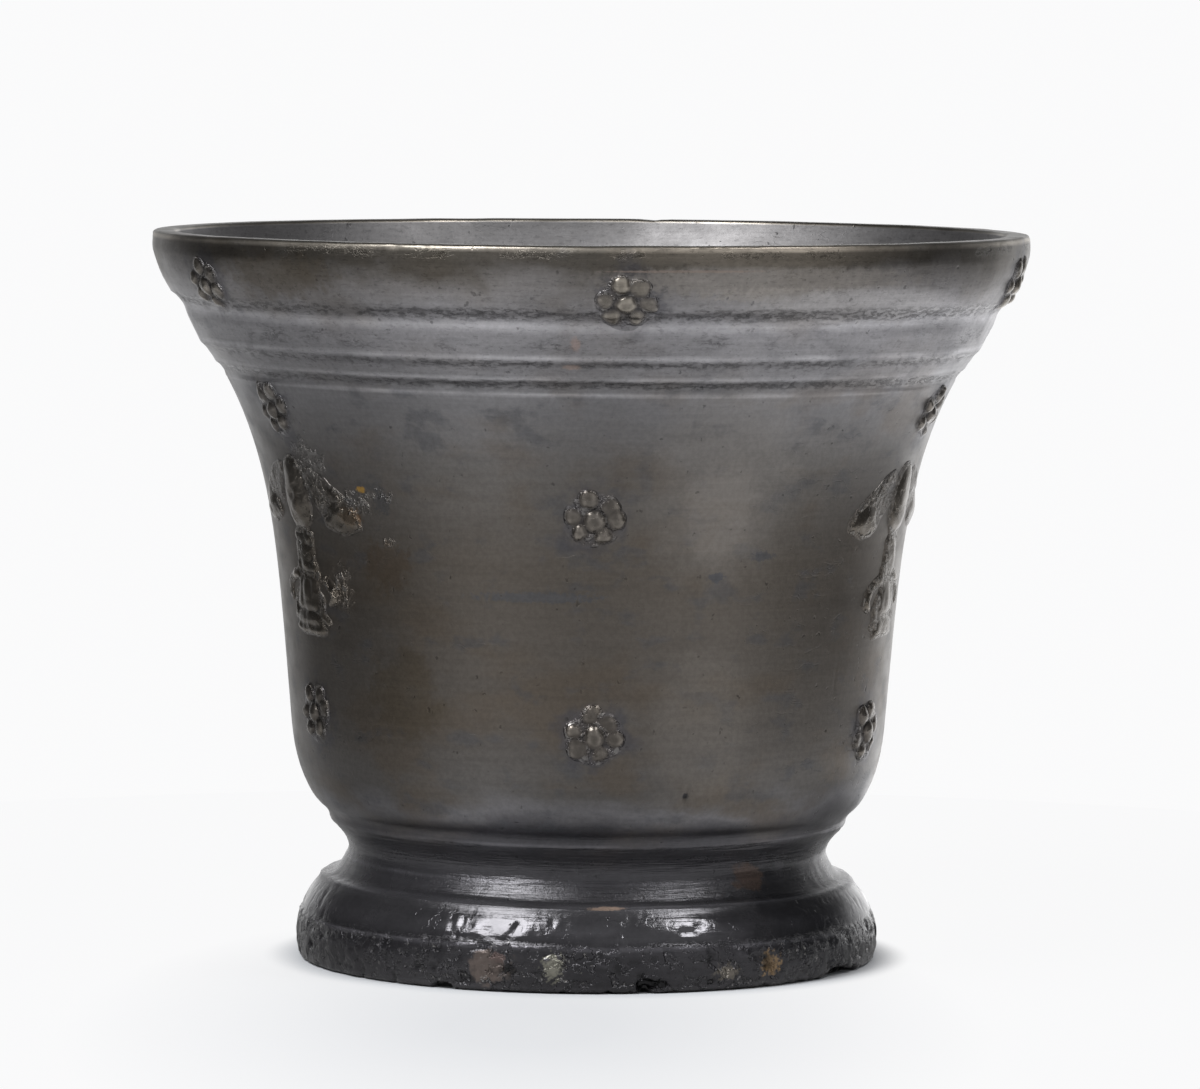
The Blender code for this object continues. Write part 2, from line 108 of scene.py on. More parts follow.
# Cells of the noise's lattice, and first seeds of the noises drawn for each entry of a table
LATTICE = 64
LINE_SEEDS = (100, 200)
SCAR_SEED = 300
STRIP_SEEDS = (400, 420)
ORNAMENT_SEED = 500
SEED_STEP = 20
EDGE_SEEDS = (600, 620)


# Noise

def noise(points, size, seed):
    """Smooth noise from -1 to 1 at points, with features about a size across."""
    lattice = np.random.default_rng(seed).uniform(-1.0, 1.0, (LATTICE, LATTICE, LATTICE))
    cell = points / size + LATTICE
    corner = np.floor(cell).astype(int)
    share = ease(cell - corner, 0.0, 1.0)
    total = np.zeros(len(points))
    for offset in itertools.product((0, 1), repeat=3):
        weight = np.ones(len(points))
        for axis in range(3):
            weight = weight * (share[:, axis] if offset[axis] else 1.0 - share[:, axis])
        index = (corner + offset) % LATTICE
        total += weight * lattice[index[:, 0], index[:, 1], index[:, 2]]
    return total


def rough(points, size, seed, octaves=3):
    """Noise of several sizes on top of one another, each half as large and half as strong."""
    total = np.zeros(len(points))
    for octave in range(octaves):
        total += noise(points, size / 2 ** octave, seed + octave) / 2 ** octave
    return total


def ease(value, low, high):
    """0 below low, 1 above high and a smooth step between them."""
    share = np.clip((value - low) / (high - low), 0.0, 1.0)
    return share * share * (3.0 - 2.0 * share)


# Outer wall

def body_radius(level):
    """Radius of the body between the foot and the cornice at an array of levels."""
    body_height = SHOULDER[1] - BODY_BASE[1]
    height = np.clip(level - BODY_BASE[1], 0.0, body_height)
    radius = TAPER_BASE + (TAPER_TOP - TAPER_BASE) * height / body_height
    rounding = np.clip(1.0 - height / BASE_ROUNDING, 0.0, 1.0)
    radius = radius - (TAPER_BASE - BODY_BASE[0]) * rounding ** ROUNDING_POWER
    flare = np.clip((height - FLARE_START) / (body_height - FLARE_START), 0.0, 1.0)
    return radius + (SHOULDER[0] - TAPER_TOP) * flare ** FLARE_POWER


def profile(rounding):
    """Radii of the outer wall at PROFILE_LEVELS, with its corners rounded over about this height."""
    radii = body_radius(PROFILE_LEVELS)
    for corners, ours in ((FOOT_CORNERS, PROFILE_LEVELS < BODY_BASE[1]),
                          (CORNICE_CORNERS, PROFILE_LEVELS > CORNICE_CORNERS[0][1])):
        corner_radii, corner_levels = zip(*corners)
        radii = np.where(ours, np.interp(PROFILE_LEVELS, corner_levels, corner_radii), radii)
    reach = round(2.0 * rounding / PROFILE_STEP)
    weights = np.exp(-(np.arange(-reach, reach + 1) * PROFILE_STEP / rounding) ** 2)
    return np.convolve(np.pad(radii, reach, mode="edge"), weights / weights.sum(), mode="valid")


PROFILE_STEP = 0.05
PROFILE_LEVELS = np.arange(FOOT_EDGE[1], RIM[1] + 0.5 * PROFILE_STEP, PROFILE_STEP)
CRISP_ROUNDING = 0.32
SOFT_ROUNDING = 4.0
OUTER_RADII = profile(CRISP_ROUNDING)
EVEN_RADII = profile(SOFT_ROUNDING)


def wall_radius(level):
    """Radius of the smooth outer wall at a level or more."""
    edge = np.clip((FOOT_EDGE[1] - level) / FOOT_EDGE[1], 0.0, 1.0)
    return np.interp(level, PROFILE_LEVELS, OUTER_RADII) - FOOT_EDGE[1] * (1.0 - np.sqrt(1.0 - edge ** 2))


def ring_point(azimuth, radius, level):
    """Points (x, y, z) at azimuths, radii and levels."""
    sides = np.broadcast_arrays(radius * np.sin(azimuth), -radius * np.cos(azimuth), level)
    return np.stack(sides, axis=-1)


def band_lean(azimuth, level):
    """How far the turned bands lie off their level, eased out at the foot and at the rim."""
    share = ease(level, 0.0, BAND_LEAN_EASE) * (1.0 - ease(level, RIM_LEVEL - BAND_LEAN_EASE, RIM_LEVEL))
    return -BAND_LEAN * np.sin(azimuth) * share


# Turned grooves and raised lines: level, height (a groove's is negative), half-width, how broken it is
LINES = (
    (8.1, 0.2, 0.3, 0.9), (9.1, -0.14, 0.45, 0.6), (14.7, 0.26, 0.24, 0.3), (13.6, -0.08, 0.5, 0.3),
    (18.4, 0.07, 0.22, 0.8), (24.5, -0.2, 0.3, 0.3), (25.7, 0.12, 0.25, 0.7), (27.4, -0.12, 0.6, 0.2),
    (106.6, 0.12, 0.28, 0.5), (108.3, -0.16, 0.6, 0.5), (111.9, -0.14, 0.6, 0.6), (120.6, -0.2, 0.85, 0.5),
    (128.9, -0.06, 0.35, 0.6),
)

# Rough strips left by the moulds: level, half-height, height of the roughness, how much of the way
# round it shows, and how dark it is painted, as crust marks and as painted shade under the overhangs
ROUGH_STRIPS = (
    (8.5, 0.7, 0.16, 0.7, 0.3), (25, 0.4, 0.05, 0.5, 0.4), (108.3, 0.75, 0.1, 1.2, 0.55),
    (112, 0.7, 0.1, 1.05, 0.5), (115.8, 1.4, 0.08, 0.4, 0.4), (120.8, 1.05, 0.12, 1.3, 0.6),
    (131.4, 0.8, 0.04, 0.3, 0.5),
)

# Edges and bands painted bright, partly rubbed metal and partly painted highlights where edges and the
# foot's roll catch the light: level, half-width, strength, and how broken the line is
WEAR_AND_HIGHLIGHT_EDGES = (
    # the band at level 11 is a painted highlight where the foot's roll catches the lamp
    (0.9, 0.35, 0.3, 0.9), (8, 0.28, 1, 0.9), (11, 1.1, 0.3, 1.2),
    (14.9, 0.25, 0.8, 0.6), (18.3, 0.16, 0.6, 0.9), (25.4, 0.22, 0.7, 0.9),
    (106.6, 0.28, 0.6, 0.8), (109.5, 0.35, 0.45, 0.8), (113.2, 0.35, 0.45, 0.8),
    (118.8, 0.85, 0.45, 0.5), (132.4, 0.35, 2, 0.6),
)

# Scars of the casting and chips of use: azimuth in degrees, level, half-width, half-height, depth
# (a lump's is negative)
SCARS = (
    (-29, 0, 1.9, 1.1, 1), (11.6, 0.8, 1.5, 1.5, 1.8), (14.6, 1.6, 1.3, 0.8, 0.9),
    (10.4, 3.2, 1, 0.9, 0.4), (59.5, 0, 5, 2.3, 2.4), (66, 0.3, 2, 1.2, 1),
    (20.5, 10.9, 2.1, 0.5, 0.2), (23.5, 11.8, 1.3, 0.45, 0.16), (-24.5, 11.3, 1.4, 0.35, 0.14),
    (-20, 10.7, 1.5, 0.35, 0.18), (-13.5, 11.6, 0.9, 0.45, 0.2), (-10.5, 10.4, 1.3, 0.35, 0.14),
    (-18.5, 4.6, 2.9, 2.5, 0.22), (-6.2, 4.8, 1.8, 2.4, -0.3), (3, 5, 1.7, 0.8, -0.3),
    (5, 7, 1.2, 1.1, -0.28), (6.6, 9.2, 0.8, 1.2, -0.24), (9, 5.4, 1.6, 1.4, 0.28),
    (28, 3.6, 2, 1.4, -0.24), (31.5, 6.6, 1.6, 1.2, -0.24), (38.2, 4.2, 1.9, 1.9, 0.3),
    (84, 6, 1.4, 2.6, 0.9), (96, 9.5, 2.2, 1.6, 0.7), (128, 0.5, 3.5, 1.6, 1.5),
    (160, 6, 3, 1.4, 0.5), (205, 1, 2.4, 1.4, 1.3), (236, 9, 3.4, 1.5, 0.5),
    (262, 0, 1.8, 1.2, 1), (-25, 132.4, 1.5, 0.6, 0.14), (-21, 132.4, 0.9, 0.5, 0.14),
    (13.5, 132.4, 1.2, 0.6, 0.14), (16.5, 132.4, 0.8, 0.6, 0.12), (21, 132.4, 1.6, 0.6, 0.12),
    (171, 133, 1.8, 0.8, 0.2), (19.2, 35, 0.7, 0.6, 0.4), (27.5, 39.5, 0.5, 0.9, 0.22),
    (-13, 98, 1, 1, 0.16), (-18, 90, 0.7, 0.3, 0.16), (17, 66.4, 0.5, 0.4, 0.18),
    (-13, 80.3, 0.5, 0.4, 0.15), (53, 55.4, 0.4, 1, 0.22),
)

# Stretch of the noise of the rough strips and of the marks of the lathe
STREAK_SHAPE = np.array([0.28, 0.28, 1.0])
TOOLING_SHAPE = np.array([0.09, 0.09, 1.0])

# How far the turned lines and the rubbed edges wander, on a ring of this radius
WANDER_RADIUS = 60.0
WANDER_SIZE = 22.0
LINE_WANDER = 0.16
EDGE_WANDER = 0.12

# Shares of a scar's or patch's reach between which it fades out
FADE_OUT = (0.55, 1.05)


def line_relief(azimuth, level, points):
    """Height of the turned lines, which wander and break up as they go round."""
    relief = np.zeros(len(level))
    ring = ring_point(azimuth, WANDER_RADIUS, 0.0)
    for index, (line_level, height, half_width, broken) in enumerate(LINES):
        near = np.abs(level - line_level) < 4.0 * half_width
        if not near.any():
            continue
        wander = LINE_WANDER * rough(ring[near], WANDER_SIZE, LINE_SEEDS[0] + index)
        strength = np.clip(1.0 + broken * rough(points[near], 9.0, LINE_SEEDS[1] + index), 0.15, 1.6)
        offset = (level[near] - line_level - wander) / half_width
        relief[near] += height * strength * np.exp(-offset ** 2)
    return relief


def strip_relief(level, points):
    """Height of the rough strips along the mouldings, and the strength of their painted shade and crust
    marks.
    """
    relief, strength = np.zeros((2, len(level)))
    for index, (strip_level, half_height, height, share, dark) in enumerate(ROUGH_STRIPS):
        near = np.abs(level - strip_level) < 2.2 * half_height
        if not near.any():
            continue
        window = np.exp(-((level[near] - strip_level) / half_height) ** 4)
        patches = rough(points[near], 7.0, STRIP_SEEDS[0] + index, 2)
        patches = ease(patches, 0.5 - 1.4 * share, 1.1 - 1.4 * share)
        grain = rough(points[near] * STREAK_SHAPE, 0.75, STRIP_SEEDS[1] + index, 2)
        relief[near] += height * window * patches * grain
        strength[near] += window * patches * dark
    return relief, strength


def wear_and_highlight_share(level, points):
    """How bright the turned edges are painted: partly rubbed metal, partly painted highlights."""
    worn = np.zeros(len(level))
    for index, (edge_level, half_width, strength, broken) in enumerate(WEAR_AND_HIGHLIGHT_EDGES):
        near = np.abs(level - edge_level) < 3.0 * half_width
        if near.any():
            wander = EDGE_WANDER * rough(points[near], WANDER_SIZE, EDGE_SEEDS[0] + index)
            line = np.exp(-((level[near] - edge_level - wander) / half_width) ** 2)
            breaks = broken * rough(points[near], 8.0, EDGE_SEEDS[1] + index)
            worn[near] += line * strength * np.clip(1.0 + breaks, 0.0, 2.0)
    return worn


def scar_relief(azimuth, level, radius, points):
    """Hollows and lumps of the scars and chips, each with a ragged outline."""
    relief = np.zeros(len(level))
    for index, (scar_azimuth, scar_level, half_width, half_height, depth) in enumerate(SCARS):
        turn = (azimuth - math.radians(scar_azimuth) + np.pi) % (2.0 * np.pi) - np.pi
        across = turn * radius / half_width
        up = (level - scar_level) / half_height
        near = (np.abs(across) < 2.0) & (np.abs(up) < 2.0)
        if not near.any():
            continue
        ragged = 1.0 + 0.45 * rough(points[near], 2.0, SCAR_SEED + index)
        distance = np.hypot(across[near], up[near]) * ragged
        relief[near] -= depth * (1.0 - ease(distance, *FADE_OUT))
    return relief


def swell_relief(azimuth, level, radius):
    """Height of the soft swellings under the ornaments."""
    relief = np.zeros(len(level))
    for centre_azimuth, centre_level, half_width, half_height in SWELLINGS:
        turn = (azimuth - centre_azimuth + np.pi) % (2.0 * np.pi) - np.pi
        distance = np.hypot(turn * radius / half_width, (level - centre_level) / half_height)
        near = distance < 2.0
        relief[near] = np.maximum(relief[near], SWELL_HEIGHT * np.exp(-distance[near] ** 4))
    return relief


# Zones of the casting's grain, over the body's own: the levels that it starts and ends between, and
# how high its grain and how deep its pits are; the foot, the low foot, the neck and the cornice
BODY_GRAIN = 0.008
GRAIN_ZONES = (
    ((-2.0, -1.0), (12.0, 15.5), 0.01, 0.1),
    ((-2.0, -1.0), (7.2, 9.0), 0.108, 0.2),
    ((13.0, 15.5), (24.0, 29.0), 0.022, 0.0),
    ((106.0, 109.0), (119.5, 122.5), 0.02, 0.0),
)


def grain_relief(level, points):
    """Height of the grain and pits that the mould left, strongest low on the foot."""
    strength = BODY_GRAIN
    depth = 0.0
    for start, end, zone_grain, zone_depth in GRAIN_ZONES:
        zone = ease(level, *start) * (1.0 - ease(level, *end))
        strength = strength + zone_grain * zone
        depth = depth + zone_depth * zone
    patchy = np.clip(0.8 + 0.8 * noise(points, 8.0, 3), 0.2, 1.6)
    pits = ease(rough(points, 2.0, 21, 2), 0.45, 0.85)
    return strength * patchy * rough(points, 1.9, 4) - depth * pits


# Marks of the lathe, deepest on the neck
BODY_TOOLING = 0.012
NECK_TOOLING = 0.03
NECK_LEVEL = 17.5
NECK_REACH = 4.0
# Reach over and under a level within which the wall's slope is taken
SLOPE_REACH = 0.12


def wall_relief(azimuth, level, radius, points):
    """Height of the cast surface over the smooth outer wall."""
    tooling = BODY_TOOLING + NECK_TOOLING * np.exp(-((level - NECK_LEVEL) / NECK_REACH) ** 2)
    return (0.1 * noise(points, 34.0, 1) + 0.035 * noise(points, 12.0, 2)
            + line_relief(azimuth, level, points) + strip_relief(level, points)[0]
            + scar_relief(azimuth, level, radius, points) + swell_relief(azimuth, level, radius)
            + grain_relief(level, points) + tooling * noise(points * TOOLING_SHAPE, 0.9, 9))


def on_wall(azimuth, level, height):
    """Points at a height over the cast surface, at azimuths and nominal levels."""
    radius = wall_radius(level)
    slope = (wall_radius(level + SLOPE_REACH) - wall_radius(level - SLOPE_REACH)) / (2.0 * SLOPE_REACH)
    length = np.sqrt(1.0 + slope ** 2)
    base = ring_point(azimuth, radius, level)
    proud = wall_relief(azimuth, level, radius, base) + height
    new_radius = radius + proud / length
    new_level = level + band_lean(azimuth, level) - proud * slope / length
    return ring_point(azimuth, new_radius, np.maximum(new_level, 0.0))


# Places of the ornaments, from their CAD nodes

def ornament_place(node):
    """Azimuth and nominal level of a node's middle, or of its foot if it is a lily."""
    corners = np.array([vertex.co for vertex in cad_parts[node].data.vertices]) / MM
    centre = corners.mean(axis=0)
    azimuth = math.atan2(centre[0], -centre[1])
    low, high = corners[:, 2].min(), corners[:, 2].max()
    level = low if node.startswith("lily") else (low + high) / 2.0
    return azimuth, level - float(band_lean(azimuth, level))


# Soft swellings under the ornaments: their height, then rise over a lily's foot, half-width and
# half-height of its two, and both halves of a rosette's
SWELL_HEIGHT = 0.16
LILY_SWELLINGS = ((24.5, 17.0, 9.0), (7.0, 9.0, 10.0))
ROSETTE_SWELLING = (6.6, 6.6)
ORNAMENTS = sorted(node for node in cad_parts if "rosette" in node or "lily" in node)
PLACES = {node: ornament_place(node) for node in ORNAMENTS}
SWELLINGS = []
for ornament, (place_azimuth, place_level) in PLACES.items():
    if ornament.startswith("lily"):
        SWELLINGS += [(place_azimuth, place_level + rise, *halves) for rise, *halves in LILY_SWELLINGS]
    else:
        SWELLINGS.append((place_azimuth, place_level, *ROSETTE_SWELLING))


# Meshes

def placed(name, data):
    """A new object of this data in the scene."""
    piece = bpy.data.objects.new(name, data)
    bpy.context.scene.collection.objects.link(piece)
    return piece


def build(name, points, faces, node, attributes):
    """Make a piece of points in millimetres and faces, standing for a CAD node."""
    data = bpy.data.meshes.new(name)
    data.from_pydata((points * MM).tolist(), [], faces)
    for label, values in attributes.items():
        data.attributes.new(label, "FLOAT", "POINT").data.foreach_set("value", values.astype(np.float32))
    data.shade_smooth()
    data.update()
    piece = placed(name, data)
    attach(piece, "root")
    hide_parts(node)
    return piece


def spaced(low, high, spacing):
    """Evenly spaced values from low up to, but without, high."""
    count = max(1, round((high - low) / spacing))
    return [low + (high - low) * step / count for step in range(count)]


# Spacing of the wall's rows, from each level up to the next
ROW_SPACINGS = (
    (0, 0.5), (7.4, 0.36), (9.6, 0.55), (14.2, 0.3), (16, 0.5), (18.9, 0.9), (23.4, 0.42),
    (28.2, 0.9), (31, 2), (50, 2.4), (102, 1.4), (106, 0.36), (109.4, 0.7), (111.3, 0.3),
    (113.2, 0.7), (117, 0.6), (119.5, 0.3), (121.6, 0.8), (123, 1.3), (128.2, 0.6), (132.3, 0),
)
WALL_LEVELS = [level for (low, spacing), (high, _) in zip(ROW_SPACINGS, ROW_SPACINGS[1:])
               for level in spaced(low, high, spacing)] + [ROW_SPACINGS[-1][0]]


def inner_radius(level):
    """Radius of the inside at levels from the rim down to the floor's rounding."""
    share = ease(RIM_LEVEL - level, 0.0, LIP_THINNING)
    thickness = LIP_THICKNESS + (WALL_THICKNESS - LIP_THICKNESS) * share
    return np.interp(level, PROFILE_LEVELS, EVEN_RADII) - thickness


def inside_rows():
    """Rows of the rim and the inside: radius, level, and the normal's share of each."""
    angles = [math.pi / 2 * step / EDGE_STEPS for step in range(1, EDGE_STEPS)]
    inner = RIM[0] - LIP_THICKNESS
    rows = [(RIM[0] - RIM_ROUND * (1.0 - math.cos(angle)), RIM[1] + RIM_ROUND * math.sin(angle),
             math.cos(angle), math.sin(angle)) for angle in angles]
    rows += [(radius, RIM_LEVEL, 0.0, 1.0)
             for radius in np.linspace(RIM[0] - RIM_ROUND, inner + RIM_ROUND, 3)]
    rows += [(inner + RIM_ROUND * (1.0 - math.sin(angle)), RIM[1] + RIM_ROUND * math.cos(angle),
              -math.sin(angle), math.cos(angle)) for angle in angles]
    floor_top = FLOOR_LEVEL + FLOOR_ROUNDING
    reach = 0.3
    for share in spaced(0.0, 1.0, 1.0 / INSIDE_STEPS):
        level = share * (floor_top - RIM[1]) + RIM[1]
        under, radius, over = inner_radius(np.array([level - reach, level, level + reach]))
        length = math.hypot(2.0 * reach, over - under)
        rows.append((radius, level, -2.0 * reach / length, (over - under) / length))
    corner = inner_radius(floor_top)
    for step in range(FLOOR_STEPS):
        angle = math.pi / 2 * step / FLOOR_LAST_STEP
        nr = math.cos(angle) / corner
        nz = math.sin(angle) / FLOOR_ROUNDING
        length = math.hypot(nr, nz)
        rows.append((corner * math.cos(angle), floor_top - FLOOR_ROUNDING * math.sin(angle),
                     -nr / length, nz / length))
    return rows


def add_vessel():
    """The cast bowl as one closed mesh of rows: underside, outer wall, rim and inside."""
    azimuth = np.concatenate([np.linspace(-0.5 * np.pi, 0.5 * np.pi, FRONT_COLUMNS, endpoint=False),
                              np.linspace(0.5 * np.pi, 1.5 * np.pi, BACK_COLUMNS, endpoint=False)])
    columns = len(azimuth)
    still = 0.0 * azimuth
    rows = []
    shares = {"hollow": [], "strip": [], "inner": [], "worn": []}

    def add_row(row, **values):
        rows.append(row)
        for label, column_values in shares.items():
            column_values.append(still + values.get(label, 0.0))

    for radius, level in UNDERSIDE_ROWS:
        add_row(ring_point(azimuth, radius, level))
    for level in WALL_LEVELS:
        levels = level + still
        radius = wall_radius(levels)
        base = ring_point(azimuth, radius, levels)
        # hollow: the relief of lines, scars and pits, which the material darkens as painted shade
        hollow = line_relief(azimuth, levels, base) + scar_relief(azimuth, levels, radius, base)
        # worn: bright edges, partly rubbed metal and partly painted highlights
        add_row(on_wall(azimuth, levels, 0.0), hollow=hollow + 1.3 * grain_relief(levels, base),
                strip=strip_relief(levels, base)[1], worn=wear_and_highlight_share(levels, base))
    for radius, level, nr, nz in inside_rows():
        base = ring_point(azimuth, radius, level)
        if level > RIM[1]:
            proud = 0.05 * noise(base, 6.0, 13) + scar_relief(azimuth, level + still, RIM[0], base)
            values = {"worn": wear_and_highlight_share(level + still, base)}
        else:
            proud = 0.06 * noise(base, 20.0, 11) + 0.02 * rough(base, 3.0, 12)
            values = {"inner": 1.0}
        add_row(ring_point(azimuth, radius + proud * nr, level + proud * nz), **values)
    count = len(rows)
    points = np.concatenate(rows + [np.array([[0.0, 0.0, RECESS_DEPTH], [0.0, 0.0, FLOOR_LEVEL]])])
    attributes = {label: np.concatenate(values + [np.zeros(2)]) for label, values in shares.items()}
    attributes["inner"][-1] = 1.0
    under, over = count * columns, count * columns + 1
    faces = []
    for column in range(columns):
        beside = (column + 1) % columns
        top = (count - 1) * columns
        faces += [(under, beside, column), (over, top + column, top + beside)]
        for row in range(count - 1):
            low = row * columns
            high = low + columns
            faces.append((low + column, low + beside, high + beside, high + column))
    return build("mortar_vessel", points, faces, "vessel", attributes)


# Ornaments

def to_segment(x, y, start, end):
    """Share of the way along a segment that is nearest to each point, and how far it is."""
    run_x, run_y = end[0] - start[0], end[1] - start[1]
    share = ((x - start[0]) * run_x + (y - start[1]) * run_y) / (run_x ** 2 + run_y ** 2)
    share = np.clip(share, 0.0, 1.0)
    return share, np.hypot(x - start[0] - share * run_x, y - start[1] - share * run_y)


def ridge(x, y, path, height):
    """Height of a round-topped ridge along a path of (x, y, half-width)."""
    best = np.full(x.shape, 9.0)
    for start, end in zip(path, path[1:]):
        share, distance = to_segment(x, y, start, end)
        best = np.minimum(best, distance / (start[2] + (end[2] - start[2]) * share))
    return height * np.clip(1.0 - best ** 2, 0.0, 1.0) ** 0.65


def pellet(x, y, centre_x, centre_y, radius, height):
    """Height of a round pellet."""
    distance = np.hypot(x - centre_x, y - centre_y) / radius
    return height * np.clip(1.0 - distance ** 2.3, 0.0, 1.0) ** 0.65


def plate(x, y, corners, height, edge, crown):
    """Height of a plate with these corners, rounded within edge of its outline and crowned inside."""
    inside = np.zeros(x.shape, dtype=bool)
    nearest = np.full(x.shape, 99.0)
    for (ax, ay), (bx, by) in zip(corners, corners[1:] + corners[:1]):
        nearest = np.minimum(nearest, to_segment(x, y, (ax, ay), (bx, by))[1])
        if ay != by:
            crossing = ax + (y - ay) * (bx - ax) / (by - ay)
            inside ^= ((ay > y) != (by > y)) & (x < crossing)
    rise = 1.0 - np.clip(1.0 - nearest / edge, 0.0, 1.0) ** 2
    return np.where(inside, height * rise ** 0.75 + crown * np.minimum(nearest, 4.0), 0.0)


def mirrored(half):
    """Corners of a whole shape from those of its right half, from bottom to top."""
    half = list(half)
    return half + [(-x, y) for x, y in reversed(half) if x > 0.0]


# Stamp of the rosettes: the angle in degrees, the distance from the boss and the size of each petal
ROSETTE_STAMP = ((168, 3.85, 0.85), (104, 4, 1.05), (47, 3.85, 1.05), (1, 3.9, 0.95),
                 (-62, 3.1, 0.85), (-140, 3.55, 0.95))
PETAL_RADIUS = 1.85
PETAL_HEIGHT = 0.95
BOSS_RADIUS = 2.0
BOSS_HEIGHT = 1.1
PAD_RADIUS = 5.7
PAD_HEIGHT = 0.22


def rosette_height(x, y, seed):
    """Heights of one rosette over the wall: petals and boss on a ragged pad."""
    random = np.random.default_rng(seed)
    points = np.stack([x, y, np.full(x.shape, 7.0 * seed)], axis=-1)
    edge = np.hypot(x, y) + 0.5 * rough(points, 3.0, seed)
    height = PAD_HEIGHT * (1.0 - ease(edge, PAD_RADIUS - 2.5, PAD_RADIUS))
    across = x + 0.42 * noise(points, 1.9, seed + 7)
    up = y + 0.42 * noise(points, 1.9, seed + 8)
    for angle, distance, size in ROSETTE_STAMP:
        turn = math.radians(angle + random.uniform(-4.0, 4.0))
        reach = distance + random.uniform(-0.12, 0.12)
        radius = PETAL_RADIUS * size * random.uniform(0.92, 1.08)
        top = PETAL_HEIGHT * random.uniform(0.6, 1.1)
        petal = pellet(across, up, reach * math.cos(turn), reach * math.sin(turn), radius, top)
        height = np.maximum(height, petal)
    height = np.maximum(height, pellet(across, up, 0.0, 0.0, BOSS_RADIUS, BOSS_HEIGHT))
    height += ease(height, 0.05, 0.25) * 0.11 * rough(points, 1.2, seed + 3)
    return height - SINK * ease(edge, PAD_RADIUS - 0.1, PAD_RADIUS + 0.6)


# Shapes of the lily, in millimetres from its axis and over its foot
LILY_PETAL = mirrored([(0, 18.6), (2.4, 19), (4, 20.6), (4.9, 23.2), (4.8, 26), (4, 29),
                       (2.9, 31.6), (1.3, 32.6), (0, 32.7)])
LILY_WING = [(3.4, 29.4), (5.6, 31), (8, 30.4), (11, 28.7), (14.2, 26.3), (17, 24.1), (18.7, 22.3),
             (18.5, 20.8), (16.9, 19.8), (13.5, 19.3), (10.6, 19.6), (8.2, 20.7), (6.6, 22.4), (5.3, 24.2)]
LILY_WING_END = [(7.6, 22), (10.4, 25.6), (14, 26), (17, 24.1), (18.9, 22.3), (18.7, 20.6),
                 (17, 19.6), (13.5, 19.1), (10.6, 19.4), (8.2, 20.5)]
LILY_WING_EDGE = ((3.6, 29.4, 1.3), (5.6, 30, 1.5), (8, 29.2, 1.6), (11, 27.4, 1.6), (14.2, 25.1, 1.6),
                  (17, 23.2, 1.3))
LILY_STEM = mirrored([(0, 11), (4.3, 11.2), (4.5, 12.9), (3.7, 13.9), (3.9, 19), (0, 19.4)])
LILY_LEAF = mirrored([(0, 3), (4.4, 3.2), (4.9, 5.6), (4.3, 8.6), (3.9, 11.6), (0, 11.8)])
LILY_FOOT = mirrored([(0, -0.1), (5.6, 0), (6.3, 1.1), (5.1, 2.3), (4.6, 4.5), (0, 4.7)])
LILY_CURL = ((4, 11, 1.1), (6.2, 10.3, 1.3), (8.2, 8.9, 1.4), (8.9, 7, 1.1), (7.7, 6.1, 0.8))
LILY_SPUR = ((4.6, 7.4, 0.8), (5.6, 5.6, 0.9), (5, 3.6, 0.9), (6.6, 2.6, 0.8))
LILY_GROOVES = (((0.9, 16.6, 0.55), (2.9, 16.6, 0.65), 0.18), ((0.6, 13.3, 0.35), (4.2, 13.3, 0.5), 0.14),
                ((0.6, 1.7, 0.45), (4, 1.7, 0.45), 0.3), ((0.6, 4.2, 0.45), (4, 4.2, 0.45), 0.3),
                ((1.5, 6.2, 0.6), (1.4, 9.8, 0.6), 0.2), ((8.6, 23.2, 1.6), (13.4, 21.8, 1.1), 0.25))


def lily_height(x, y, seed):
    """Heights of one lily over the wall; y is 0 at its foot."""
    points = np.stack([x, y, np.full(x.shape, 7.0 * seed)], axis=-1)
    across = x + 0.4 * noise(points, 2.8, seed + 7)
    up = y + 0.4 * noise(points, 2.8, seed + 8)
    side = np.abs(across)
    whole = 0.35 + 0.65 * ease(noise(points, 3.6, seed + 5), -0.45, 0.15)
    height = np.maximum.reduce([
        plate(side, up, LILY_WING, 0.25, 2.0, 0.03),
        plate(side, up, LILY_WING_END, 0.5, 2.8, 0.22),
        ridge(side, up, LILY_WING_EDGE, 0.6) * whole,
        plate(across, up, LILY_STEM, 0.55, 1.7, 0.08),
        plate(across, up, LILY_LEAF, 0.5, 2.0, 0.12),
        plate(across, up, LILY_FOOT, 0.7, 1.5, 0.06),
        ridge(side, up, LILY_CURL, 0.85) * whole,
        ridge(side, up, LILY_SPUR, 0.65) * whole,
    ])
    gap = plate(across, up, [(1.12 * px, py + (py - 25.0) * 0.06) for px, py in LILY_PETAL], 1.0, 0.6, 0.0)
    petal = plate(across, up, LILY_PETAL, 0.6, 2.6, 0.22)
    height = np.where(petal > 0.0, petal, height * (1.0 - 0.55 * gap))
    for start, end, depth in LILY_GROOVES:
        height -= ridge(side, up, (start, end), depth)
    worn = ease(noise(points, 6.0, seed + 9), -0.1, 0.6)
    inside = ease(height, 0.05, 0.4)
    grain = (0.06 + 0.15 * worn) * rough(points, 1.6, seed + 3)
    height = np.where(inside > 0.0, height + inside * grain, height)
    return np.where(height > 0.03, height, -SINK)


def soften(height, shape, times):
    """Spread a height map's steps over its neighbours."""
    grid = height.reshape(shape)
    for _ in range(times):
        wide = np.pad(grid, 1, mode="edge")
        beside = wide[:-2, 1:-1] + wide[2:, 1:-1] + wide[1:-1, :-2] + wide[1:-1, 2:]
        grid = (4.0 * wide[1:-1, 1:-1] + 2.0 * beside
                + wide[:-2, :-2] + wide[:-2, 2:] + wide[2:, :-2] + wide[2:, 2:]) / 16.0
    return grid.ravel()


